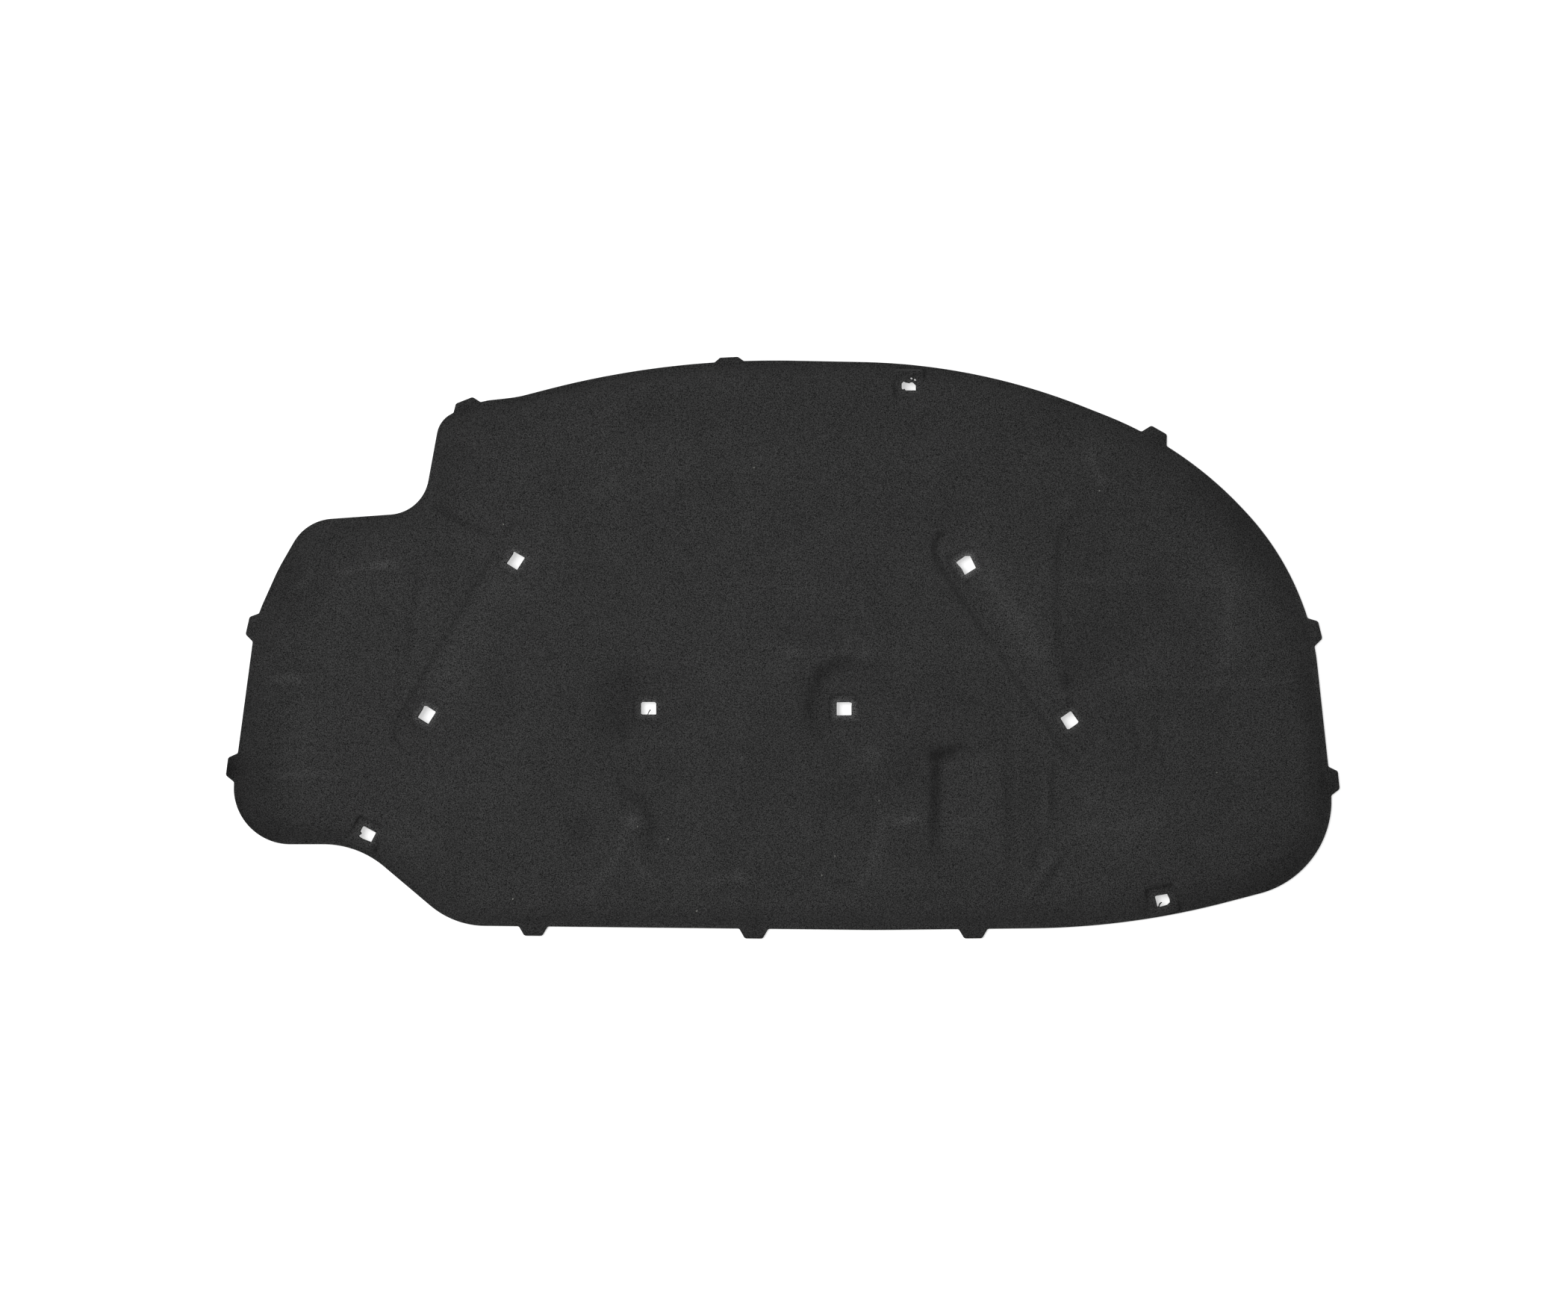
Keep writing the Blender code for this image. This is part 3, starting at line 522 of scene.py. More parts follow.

# %% [markdown]
# Felt that is pressed harder looks darker, and rubbed felt looks paler, also where its height is
# the same. Many places here are painted light and shade as well: darker bands along the edge where
# the roll turns from the light, darker walls and creases, and paler groove floors and ridges that
# face the light. Vertex paint would show it too, but only by hand. Here each darker or paler place
# is a stroke again, so it can be moved or changed later.

# %% Tones, and painted light and shade
# Points in mm, change in percent, and one width or two as above
TONE_AND_PAINTED_LIGHT_STROKES = [
    # Darker felt along the edge, partly denser felt and partly painted shade where the roll turns
    # from the light, most at the right and the low right; clockwise from the low left corner, so the
    # inside is at the right
    ([(-560, -232), (-622, -222), (-648, -180), (-640, -110)], -34, 20, 105),
    ([(-648, -200), (-636, -60), (-614, 30), (-580, 120), (-548, 146)], -26, 20, 78),
    ([(-548, 146), (-470, 152), (-420, 158), (-398, 190), (-392, 262)], -14, 20, 55),
    ([(-398, 190), (-388, 262), (-350, 288)], -18, 20, 62),
    ([(-350, 288), (-240, 312), (-140, 332)], -16, 20, 55),
    ([(-140, 332), (60, 336), (230, 331)], -12, 20, 45),
    ([(230, 331), (400, 276), (520, 180), (590, 90), (622, 0)], -8, 20, 60),
    ([(560, 130), (605, 60), (640, -60), (648, -170)], -7, 20, 75),
    ([(640, -90), (650, -220), (600, -290), (500, -318), (400, -326)], -16, 20, 140),
    ([(560, -300), (340, -328), (40, -330), (-300, -327), (-390, -312), (-450, -268)], -5, 20, 50),
    ([(-360, -318), (-450, -268), (-500, -236), (-600, -228)], -8, 20, 50),
    # Painted light makes the pressed rim less dark where it is turned from the light, painted shade
    # makes a few stretches of it darker, and the tabs are darker
    ([(-648, -215), (-628, -60), (-615, 30), (-588, 92), (-560, 140)], 17, 12, 13),
    ([(-548, 146), (-470, 152), (-420, 158)], 9, 20, 12),
    ([(-480, 151), (-420, 158), (-398, 190), (-392, 262)], -5, 20, 30),
    ([(-350, 288), (-240, 312), (-140, 332), (60, 336)], -4, 20, 30),
    ([(560, 130), (605, 60), (640, -60), (650, -210), (600, -290)], 13, 20, 26),
    ([(606, 60), (642, -70)], 9, 20, 34),
    ([(648, -150), (620, -270), (560, -305)], -5, 20, 50),
    ([(-500, -230), (-630, -230)], 10, 12, 18),
    ([(-388, -320), (-496, -229)], -8, 12, 27),
    ([(540, -306), (340, -328), (40, -330), (-300, -327), (-390, -312)], 12, 20, 24),
    ([(-390, -312), (-450, -268), (-500, -236), (-600, -228)], 9, 20),
    ([(-34, -336)], -22, 26),
    ([(223, -336)], -18, 26),
    ([(-291, -333)], -16, 24),
    ([(444, 252)], -16, 26),
    ([(624, 18)], -22, 26),
    ([(646, -157)], -24, 30),
    ([(-646, -140)], -16, 26),
    ([(-371, 286)], -8, 24),
    # Painted light on the floors of the grooves, and painted shade on the walls of the basins and the
    # recess, in the creases beside them and in the haze beside the recess
    ([(222, 106), (267, 41), (313, -24)], 26, 22, 30),
    ([(218, 116)], 15, 34),
    ([(206, 112), (262, 66), (286, 24), (302, -28)], 9, 32, 26),
    ([(252, 90)], 14, 30),
    ([(284, 54)], 12, 28),
    ([(181, 104), (202, 76), (246, 0), (298, -74)], 11, 7),
    ([(186, 118)], 14, 12),
    ([(-322, 100), (-404, -56)], 12, 38, 30),
    ([(-300, 108)], 8, 26),
    ([(320, -34), (346, -44)], -12, 17),
    ([(-196, -14), (-188, -62), (-196, -108)], -17, 24, 48),
    ([(-182, -88)], -10, 30),
    ([(90, -20), (64, -20), (46, -32), (38, -50)], -16, 16, 13),
    ([(44, -40), (33, -70), (38, -96)], -9, 18, 14),
    ([(180, -130), (180, -170), (177, -224)], -17, 7, 11),
    ([(166, -126), (184, -125), (206, -119)], -20, 9, 10),
    ([(142, -140)], -9, 44),
    # Pale fuzz where the face has been rubbed, and painted highlights on the ridges that face the
    # light
    ([(-176, -201)], 48, 14),
    ([(-51, -267)], 42, 15),
    ([(-92, -276), (-56, -266)], 9, 14),
    ([(-50, -128)], 18, 14),
    ([(102, -126)], 36, 19),
    ([(96, -6)], 32, 13),
    ([(76, 4)], 18, 11),
    ([(-34, 6), (6, -2), (30, -5), (100, -7)], 17, 10),
    ([(12, -9)], 30, 11),
    ([(132, -204), (146, -202), (162, -200)], 46, 9),
    ([(-474, 94), (-461, 97), (-450, 96)], 30, 8),
    ([(-566, 68), (-546, 91)], 18, 9),
    ([(-594, -36), (-556, -36)], 32, 9, 12),
    ([(-596, -148), (-540, -148)], 9, 9, 12),
    ([(330, 166)], 16, 12),
    ([(374, 190), (372, 212)], 12, 14),
    ([(-178, -206), (-188, -232), (-200, -258), (-222, -280)], 14, 14),
    ([(-176, -236), (-160, -262), (-140, -286)], 16, 13),
    ([(114, -180), (118, -205), (114, -232), (108, -256), (82, -282)], 14, 16),
    ([(114, -196), (170, -199)], 9, 15),
    ([(290, 79), (425, 76), (560, 72)], 6, 9),
    ([(370, -41), (470, -43), (600, -40)], 7, 9),
    ([(506, 112), (524, 70), (522, 0), (508, -28)], 9, 22),
    ([(304, -155), (304, -281)], 9, 7),
    ([(284, -290), (329, -218)], 11, 6),
    ([(83.5, -66), (83.5, -77)], 50, 5),
    ([(87.8, -82.6)], 35, 5),
    # Wider paler and darker places
    ([(240, 150), (400, 190)], -6, 120),
    ([(420, 60)], -7, 95),
    ([(-230, 270)], 5, 50),
    ([(-66, 90), (-60, -20), (-10, -60)], 7, 60),
    ([(-565, 85)], -11, 85),
    ([(-262, 208)], -12, 58),
    ([(-330, 150)], -5, 45),
    ([(0, 150)], -7, 65),
    ([(-420, -90)], -5, 60),
    ([(330, -195), (450, -215)], 14, 75),
    ([(527, 96), (534, 60)], 7, 22),
    ([(-232, -214)], -5, 32),
    ([(40, -178), (95, -178)], -6, 34),
    ([(-330, 262), (0, 285), (330, 262)], -8, 38),
    ([(160, -212), (270, -212)], 12, 44),
    ([(-330, -90), (-330, -210)], 5, 55),
    ([(450, 200), (520, 150), (575, 90)], -12, 55),
    ([(270, 280), (330, 260)], -10, 50),
    ([(-90, 262)], -5, 50),
    ([(-90, 88), (-30, 60)], 5, 55),
    ([(-90, -30)], 10, 45),
    ([(-630, -150)], 9, 40),
    ([(330, -30), (390, 30)], -13, 55),
    ([(560, -210), (570, -270)], -5, 55),
    ([(-390, -270)], -8, 46),
]
print("Darker and paler places:", len(TONE_AND_PAINTED_LIGHT_STROKES))

# %% The brush, and the scuffs at the clips
STROKE_END_FADE = 0.2
STROKE_END_STRENGTH = 0.35

# Painted shade for each mm of a stroke, darker in its creases and paler on its ridges; painted
# shade on the roll down to the rim, where the pressed felt is also denser; and painted shade in a
# ring on the wall of each pocket
STROKE_PAINTED_SHADE = 0.08
RIM_DENSITY_AND_PAINTED_SHADE = 0.12
POCKET_PAINTED_SHADE = 0.1

# Pale scuffs that the clips have left around their holes
SCUFF_REACH = 8 * MM
SCUFFS = {
    "top": 0.25,
    "groove_left_high": 0.8,
    "groove_right_high": 1.5,
    "basin_left": 0.65,
    "basin_right": 1.25,
    "groove_left_low": 0.95,
    "groove_right_low": 0.6,
    "corner_left": 0.5,
    "corner_right": 0.3,
}


def stroke_value(points, stroke):
    """What one stroke does to each point: its strength on the line, and none past its widths."""
    line, strength, *widths = stroke
    line = np.array(line, dtype=float) * MM
    if len(line) == 1:
        apart = np.linalg.norm(points - line[0], axis=1)
        return strength * ease(1 - apart / (widths[0] * MM))
    runs = np.diff(line, axis=0)
    lengths = np.linalg.norm(runs, axis=1)
    nearest = np.full(len(points), np.inf)
    on_right = np.zeros(len(points), dtype=bool)
    way = np.zeros(len(points))
    for start, run, length, before in zip(line, runs, lengths, np.cumsum(lengths) - lengths):
        offsets = points - start
        share = np.clip(offsets @ run / (run @ run), 0, 1)
        apart = np.linalg.norm(offsets - share[:, None] * run, axis=1)
        closer = apart < nearest
        nearest = np.where(closer, apart, nearest)
        on_right = np.where(closer, offsets[:, 0] * run[1] - offsets[:, 1] * run[0] > 0, on_right)
        way = np.where(closer, before + share * length, way)
    width = np.where(on_right, widths[-1], widths[0]) * MM
    way /= lengths.sum()
    climb = ease(np.minimum(way, 1 - way) / STROKE_END_FADE)
    ends = STROKE_END_STRENGTH + (1 - STROKE_END_STRENGTH) * climb
    return strength * ends * ease(1 - nearest / width)


print("Strongest scuff:", max(SCUFFS, key=SCUFFS.get))

# %% [markdown]
# A voxel remesh would eat the thin rim and the small clip holes, so the mesh starts from its plan.
# The edges of the plan and a dense grid of loose points are joined by a Delaunay triangulation,
# which gives small even triangles over the face and keeps every edge where the pattern has it.

# %% Grid and triangles
UNDERSIDE_SPACING = 22 * MM
TOUCHING = 0.001 * MM
INSIDE_ONLY = 1


def grid_points(spacing):
    """A triangular grid of points over the whole plan."""
    plan = plain_array(edge)
    low, high = plan.min(axis=0), plan.max(axis=0)
    row = spacing * math.sqrt(3) / 2
    lines = np.arange(int((high[1] - low[1]) / row) + 1)
    places = np.arange(int((high[0] - low[0]) / spacing) + 1)
    x = low[0] + places[None, :] * spacing + (lines % 2)[:, None] * spacing / 2
    y = np.broadcast_to(low[1] + lines[:, None] * row, x.shape)
    return np.column_stack([x.ravel(), y.ravel()])


def clear_of(points, kept, clearance):
    """The points that lie further than the clearance from all the kept ones."""
    tree = KDTree(len(kept))
    for index, point in enumerate(kept):
        tree.insert((point[0], point[1], 0), index)
    tree.balance()
    far = [tree.find((x, y, 0))[2] > clearance for x, y in points]
    return points[np.array(far)]


def triangles(loops, loose, holes):
    """Triangles between closed loops and loose points, leaving out what lies in a hole."""
    points = []
    sides = []
    for loop in loops:
        first = len(points)
        points += [Vector(point) for point in loop]
        sides += [(first + i, first + (i + 1) % len(loop)) for i in range(len(loop))]
    points += [Vector(point) for point in loose]
    found, _, faces, sources, _, _ = delaunay_2d_cdt(points, sides, [], INSIDE_ONLY, TOUCHING)
    places = plain_array(found)
    middles = places[np.array(faces)].mean(axis=1)
    good = inside_loop(middles, loops[0])
    for hole in holes:
        good &= ~inside_loop(middles, hole)
    names = [source[0] for source in sources]
    return plain_array(points), [[names[i] for i in face] for face, fits in zip(faces, good) if fits]


print("Points of the coarse grid:", len(grid_points(UNDERSIDE_SPACING)))

# %% [markdown]
# Clips go through nine holes. Each hole lies in a shallow square pocket that the mould presses, and
# its edge has frayed. A boolean cut would leave long thin triangles around it, so the holes and
# rings around them are loops of the triangulation.

# %% Clip holes and their pockets
HOLE_SPACING = 2 * MM
POCKET_RINGS = (0, 0.25, 0.5, 0.75, 1)
PINHOLE_STEPS = 12

# The felt around each hole has frayed, so its edge has its own corners: offsets in mm from the
# middle, clockwise. A tuft has closed the upper part of the top hole but for two pinholes.
HOLE_CORNER_RADIUS = 0.9 * MM
PINHOLE_RADIUS = 1.4 * MM
HOLE_EDGES = {
    "top": [
        (-8.4, -5.4), (-8.4, 0.2), (-5.8, 3.2), (-3.9, 2.0), (0.6, 1.0), (3.2, 2.3), (5.0, 1.8),
        (8.3, -1.6), (8.4, -7.9), (-3.8, -7.9), (-5.2, -5.6), (-6.9, -7.2),
    ],
    "groove_left_high": [(-10.2, -3.4), (-2.7, 7.6), (-1.9, 10.7), (11.5, 3.0), (2.4, -11.2)],
    "groove_right_high": [
        (-11.5, 2.7), (-0.4, 10.4), (5.2, 10.3), (8.6, 3.2), (11.9, -3.5), (-1.4, -12.0), (-4.6, -5.2),
    ],
    "basin_left": [
        (-9.2, -6.8), (-9.2, 5.2), (-7.6, 6.8), (7.0, 6.8), (8.5, 5.2), (8.5, -7.8), (-8.0, -7.8),
    ],
    "basin_right": [
        (-8.8, -7.9), (-8.8, 7.4), (5.6, 7.6), (8.9, 6.6), (8.4, 2.0), (8.5, -7.6),
    ],
    "groove_left_low": [
        (-10.1, -3.2), (-4.2, 6.3), (-2.7, 10.2), (1.1, 10.2), (11.8, 3.3), (2.7, -11.1),
    ],
    "groove_right_low": [
        (-10.9, 2.1), (0.2, 9.7), (2.2, 9.7), (10.8, -2.3), (9.3, -4.4), (-0.3, -11.0), (-3.1, -10.6),
    ],
    "corner_left": [
        (-10.2, -2.7), (-6.1, 0.1), (-8.1, 2.6), (-5.1, 8.4), (-2.5, 8.9), (10.9, 1.6), (5.0, -9.9),
        (-5.6, -5.8),
    ],
    "corner_right": [
        (-8.6, 3.9), (-7.1, 4.9), (6.3, 7.1), (6.8, 5.2), (9.1, 0.5), (9.4, -3.1), (6.4, -6.0),
        (-2.2, -8.5), (-5.7, -7.8),
    ],
}
PINHOLES = [(3.1, 6.3), (7.3, 4.7)]


def turned_rectangle(x, y, turn, margin, radius):
    """A clip hole, or a frame around it that lies the margin outside it."""
    cosine, sine = math.cos(math.radians(turn)), math.sin(math.radians(turn))
    corners = []
    for along, across in ((-1, -1), (-1, 1), (1, 1), (1, -1)):
        u = along * (HOLE_LENGTH / 2 + margin)
        v = across * (HOLE_WIDTH / 2 + margin)
        corners.append((x + u * cosine - v * sine, y + u * sine + v * cosine, radius))
    return rounded_loop(corners)


def hole_edge(name):
    """The frayed edge of one clip hole."""
    x, y, turn = CLIP_HOLES[name]
    corners = [(x + dx * MM, y + dy * MM, HOLE_CORNER_RADIUS) for dx, dy in HOLE_EDGES[name]]
    return rounded_loop(corners)


def circle(x, y, radius, steps):
    """A round hole, clockwise."""
    turns = [-2 * math.pi * step / steps for step in range(steps)]
    return [Vector((x + radius * math.cos(turn), y + radius * math.sin(turn))) for turn in turns]


def shifted_loop(loop, distance):
    """Points beside a clockwise loop, each moved inwards by the distance."""
    points = []
    for index in range(len(loop)):
        along = (loop[(index + 1) % len(loop)] - loop[index - 1]).normalized()
        points.append(loop[index] + Vector((along.y, -along.x)) * distance)
    return points


holes = []
pocket_rings = []
for name, (x, y, turn) in CLIP_HOLES.items():
    holes.append(spaced(hole_edge(name), HOLE_SPACING))
    for share in POCKET_RINGS:
        margin = LAND_MARGIN + POCKET_SLOPE * share
        radius = LAND_RADIUS + POCKET_SLOPE * share
        pocket_rings.append(spaced(turned_rectangle(x, y, turn, margin, radius), HOLE_SPACING))

x, y, turn = CLIP_HOLES["top"]
for dx, dy in PINHOLES:
    holes.append(circle(x + dx * MM, y + dy * MM, PINHOLE_RADIUS, PINHOLE_STEPS))
print("Holes with the pinholes:", len(holes))

# %% Points of the face
FACE_SPACING = 3.6 * MM
FACE_CLEARANCE = FACE_SPACING / 2
EDGE_ROUNDING = 0.9 * MM
LIP_ROUNDING = 0.5 * MM

lips = [shifted_loop(hole, -LIP_ROUNDING) for hole in holes]
brim = shifted_loop(edge, EDGE_ROUNDING)
face_loops = [brim] + lips
ring_points = [point for loop in face_loops + pocket_rings for point in loop]
loose = clear_of(grid_points(FACE_SPACING), ring_points, FACE_CLEARANCE)
loose = loose[inside_loop(loose, brim)]
pocket_points = plain_array([point for ring in pocket_rings for point in ring])
loose = np.vstack([pocket_points, loose])
face_points, face_triangles = triangles(face_loops, loose, lips)
print("Face:", len(face_points), "points and", len(face_triangles), "triangles")

# %% Heights and tones of the face
POCKET_REACH = 3 * HOLE_LENGTH


def face_height(points):
    """Height of the moulded face, without the strokes and the clip pockets."""
    rise = roll_share(points)
    height = RIM_THICKNESS + (LOFT - RIM_THICKNESS) * rise + relief_height(points) * rise
    return np.maximum(height, RIM_THICKNESS)


plan = face_points
rise = roll_share(plan)
heights = face_height(plan)
for stroke in STROKES:
    heights -= stroke_value(plan, stroke) * MM * rise
heights = np.maximum(heights, RIM_THICKNESS)
looseness = rise.copy()
# The tone holds the felt's own tone and painted shade: darker on the roll to the rim, in the creases
# of the strokes and in the pocket rings, paler on their ridges, with the tone strokes
tone_and_painted_shade = -RIM_DENSITY_AND_PAINTED_SHADE * (1 - rise)
for stroke in STROKES:
    tone_and_painted_shade -= stroke_value(plan, stroke) * STROKE_PAINTED_SHADE * rise
for stroke in TONE_AND_PAINTED_LIGHT_STROKES:
    tone_and_painted_shade += stroke_value(plan, stroke) / 100
scuff = np.zeros(len(plan))
for name, (x, y, turn) in CLIP_HOLES.items():
    middle = np.array(((x, y),))
    land_height = face_height(middle)[0] - POCKET_DEPTH
    near = np.linalg.norm(plan - middle, axis=1) < POCKET_REACH
    land = turned_rectangle(x, y, turn, LAND_MARGIN, LAND_RADIUS)
    apart = np.where(inside_loop(plan[near], land), 0, distance_to_loop(plan[near], land))
    climb = ease(apart / POCKET_SLOPE)
    heights[near] = land_height + (heights[near] - land_height) * climb
    looseness[near] *= climb
    # Painted shade in a ring on the wall of the pocket
    tone_and_painted_shade[near] -= POCKET_PAINTED_SHADE * ease(1 - np.abs(apart - POCKET_SLOPE / 2) / POCKET_SLOPE)
    fray = ease(1 - distance_to_loop(plan[near], hole_edge(name)) / SCUFF_REACH)
    scuff[near] += SCUFFS[name] * fray
print("Face from", round(heights.min() / MM, 2), "to", round(heights.max() / MM, 2), "mm")

# %% [markdown]
# The face, the rounded edges, the cut walls and the flat underside are sewn into one closed mesh.
# Each ring of a wall has the same points as the edge it follows, so quads join them one by one.

# %% The closed mesh of the pad
HALF_ROUND = 1 - math.sqrt(0.5)
UNDERSIDE_CLEARANCE = EDGE_SPACING * 2

vertices = []
faces = []


def add_points(points, heights):
    """Adds points to the mesh and returns the number of the first."""
    first = len(vertices)
    vertices.extend((x, y, z) for (x, y), z in zip(points, heights))
    return first


def add_wall(upper, lower, count):
    """Joins two closed rings of the same number of points with quads."""
    for index in range(count):
        after = (index + 1) % count
        faces.append((upper + index, upper + after, lower + after, lower + index))


add_points(face_points, heights)
faces += face_triangles
under_loops = [edge] + holes
under_loose = grid_points(UNDERSIDE_SPACING)
under_rings = [point for loop in under_loops for point in loop]
under_loose = clear_of(under_loose, under_rings, UNDERSIDE_CLEARANCE)
under_loose = under_loose[inside_loop(under_loose, edge)]
under_points, under_triangles = triangles(under_loops, under_loose, holes)
under_first = add_points(under_points, np.zeros(len(under_points)))
faces += [[under_first + index for index in reversed(face)] for face in under_triangles]
upper, lower = 0, under_first
for loop, inset in zip(under_loops, [EDGE_ROUNDING] + [-LIP_ROUNDING] * len(holes)):
    count = len(loop)
    top_heights = heights[upper : upper + count]
    half_way = shifted_loop(loop, inset * HALF_ROUND)
    middle = add_points(plain_array(half_way), top_heights - abs(inset) * HALF_ROUND)
    shoulder = add_points(plain_array(loop), top_heights - abs(inset))
    add_wall(upper, middle, count)
    add_wall(middle, shoulder, count)
    add_wall(shoulder, lower, count)
    upper += count
    lower += count

pad_mesh = bpy.data.meshes.new("felt_pad")
pad_mesh.from_pydata(vertices, [], faces)
pad = bpy.data.objects.new("felt_pad", pad_mesh)
bpy.context.scene.collection.objects.link(pad)


def edit_only(piece):
    """Selects one piece alone and opens all of it in edit mode."""
    bpy.ops.object.select_all(action="DESELECT")
    bpy.context.view_layer.objects.active = piece
    piece.select_set(True)
    bpy.ops.object.mode_set(mode="EDIT")
    bpy.ops.mesh.select_all(action="SELECT")


for name, values in (("tone_and_painted_shade", tone_and_painted_shade), ("scuff", scuff)):
    attribute = pad_mesh.attributes.new(name, "FLOAT", "POINT")
    padded_values = np.full(len(vertices), -RIM_DENSITY_AND_PAINTED_SHADE if name == "tone_and_painted_shade" else 0.0)
    padded_values[: len(values)] = values
    attribute.data.foreach_set("value", padded_values)

edit_only(pad)
bpy.ops.mesh.normals_make_consistent(inside=False)
bpy.ops.object.mode_set(mode="OBJECT")
print("Pad:", len(pad_mesh.vertices), "points and", len(pad_mesh.polygons), "faces")

# %% [markdown]
# Needled felt springs back unevenly when it leaves the mould, so its face is never quite smooth.
# Two Displace modifiers with cloud textures lift and lower it by a fraction of a millimetre. A
# vertex group keeps the pressed rim and lands flat, and the modifiers are applied.

# %% Uneven loft
LOFT_WAVES = {
    "wide": (75 * MM, 1.1 * MM),
    "narrow": (24 * MM, 0.5 * MM),
}
SMOOTH_BELOW = math.radians(50)

group = pad.vertex_groups.new(name="loft")
for index, weight in enumerate(looseness):
    if weight > 0:
        group.add([index], float(weight), "REPLACE")
for name, (size, height) in LOFT_WAVES.items():
    clouds = bpy.data.textures.new("loft_" + name, "CLOUDS")
    clouds.noise_scale = size
    clouds.noise_depth = 1
    displace = pad.modifiers.new("loft_" + name, "DISPLACE")
    displace.texture = clouds
    displace.texture_coords = "LOCAL"
    displace.direction = "Z"
    displace.strength = height
    displace.mid_level = 0.5
    displace.vertex_group = "loft"
    bpy.ops.object.modifier_apply(modifier=displace.name)
bpy.ops.object.shade_smooth_by_angle(angle=SMOOTH_BELOW)
tops = np.array([vertex.co.z for vertex in pad_mesh.vertices])
print("Highest point in mm:", round(tops.max() / MM, 2))

# %% [markdown]
# Black felt is a mat of short fibres. Close by it is a fine grain of lighter and darker fibres,
# and over a wider area it is slightly mottled. It has no gloss, only a faint sheen. All patterns
# read Object coordinates in metres, so their sizes are the real ones.

# %% The felt
FELT_COLOUR = (0.0293, 0.0293, 0.0293)
FELT_FINISH = {
    "Roughness": 0.95,
    "Specular IOR Level": 0.12,
    "Sheen Weight": 0.03,
    "Sheen Roughness": 0.5,
}
NOISE_TILT = (math.radians(34), math.radians(27), math.radians(15))
BUMP_DEPTH = 0.5 * MM
BUMP_STRENGTH = 0.6

# Each noise: its size, detail and roughness, then the span of its values and the shades they give
GRAIN = (1.15 * MM, 1, 0.65, (0.31, 0.69), (0, 2))
TUFTS = (7 * MM, 2, 0.5, (0.3, 0.7), (0.98, 1.02))
MOTTLE = (75 * MM, 3, 0.6, (0.3, 0.7), (0.92, 1.08))


def new_node(material, kind, label, **values):
    """Adds one node, names it and sets its inputs and options."""
    node = material.node_tree.nodes.new(kind)
    node.label = label
    for name, value in values.items():
        if name in node.inputs:
            node.inputs[name].default_value = value
        else:
            setattr(node, name, value)
    return node


def link(material, source, target):
    material.node_tree.links.new(source, target)


def combined(material, label, operation, first, second):
    """One number worked out from two others."""
    node = new_node(material, "ShaderNodeMath", label, operation=operation)
    link(material, first, node.inputs[0])
    link(material, second, node.inputs[1])
    return node.outputs[0]


def noise(material, place, label, values):
    """A noise, by itself and as shades."""
    size, detail, roughness, span, shades = values
    texture = new_node(material, "ShaderNodeTexNoise", label, Scale=1 / size, Detail=detail)
    texture.inputs["Roughness"].default_value = roughness
    shade = new_node(material, "ShaderNodeMapRange", label + ", as shades")
    for name, value in zip(("From Min", "From Max", "To Min", "To Max"), span + shades):
        shade.inputs[name].default_value = value
    link(material, place.outputs["Vector"], texture.inputs["Vector"])
    link(material, texture.outputs["Fac"], shade.inputs["Value"])
    return texture.outputs["Fac"], shade.outputs["Result"]


def make_felt(name, colour):
    """Felt of one colour. A piece without the tone and scuff attributes gets them as nought."""
    felt = bpy.data.materials.new(name)
    felt.use_nodes = True
    shader = felt.node_tree.nodes["Principled BSDF"]
    for finish, value in FELT_FINISH.items():
        shader.inputs[finish].default_value = value
    place = new_node(felt, "ShaderNodeTexCoord", "Place on the pad")
    tilt = new_node(felt, "ShaderNodeMapping", "Tilt off the noise planes", Rotation=NOISE_TILT)
    link(felt, place.outputs["Object"], tilt.inputs["Vector"])
    grain, grain_shade = noise(felt, tilt, "Fibre grain", GRAIN)
    tuft_shade = noise(felt, tilt, "Fibre tufts", TUFTS)[1]
    mottle_shade = noise(felt, tilt, "Mottling", MOTTLE)[1]

    # The tone attribute brings painted shade and painted light along with the felt's own tone
    tone_and_painted_shade = new_node(felt, "ShaderNodeAttribute", "Tone and painted shade", attribute_name="tone_and_painted_shade")
    worn = new_node(felt, "ShaderNodeAttribute", "Scuffs at the clips", attribute_name="scuff")
    tone_and_shade_factor = new_node(felt, "ShaderNodeMath", "Tone factor", operation="ADD")
    tone_and_shade_factor.inputs[1].default_value = 1
    link(felt, tone_and_painted_shade.outputs["Fac"], tone_and_shade_factor.inputs[0])
    wide = combined(felt, "Wider shades", "MULTIPLY", tuft_shade, mottle_shade)
    shade = combined(felt, "All shades", "MULTIPLY", grain_shade, wide)
    with_tone_and_painted_shade = combined(felt, "With tone", "MULTIPLY", shade, tone_and_shade_factor.outputs[0])
    patchy = combined(felt, "Patchy scuffs", "MULTIPLY", worn.outputs["Fac"], grain_shade)
    total = combined(felt, "Shade and scuffs", "ADD", with_tone_and_painted_shade, patchy)
    tint = new_node(felt, "ShaderNodeVectorMath", "Felt colour", operation="SCALE")
    tint.inputs[0].default_value = colour
    link(felt, total, tint.inputs["Scale"])
    link(felt, tint.outputs["Vector"], shader.inputs["Base Color"])

    bump = new_node(felt, "ShaderNodeBump", "Fibre bump", Distance=BUMP_DEPTH)
    bump.inputs["Strength"].default_value = BUMP_STRENGTH
    link(felt, grain, bump.inputs["Height"])
    link(felt, bump.outputs["Normal"], shader.inputs["Normal"])
    return felt


felt = make_felt("black_felt", FELT_COLOUR)
pad_mesh.materials.append(felt)
print("Felt nodes:", len(felt.node_tree.nodes))

# %% [markdown]
# Cut felt sheds. Two strands hang into clip holes, and specks of pale lint have caught on the
# face. A path with a round bevel is the plain way to make a fibre. It starts inside the felt, so
# that it is held, and it is then converted to a mesh.

# %% Strands in the clip holes
KNOT_SWELLING = 1.6
PATH_STEPS = 6
BEVEL_STEPS = 2
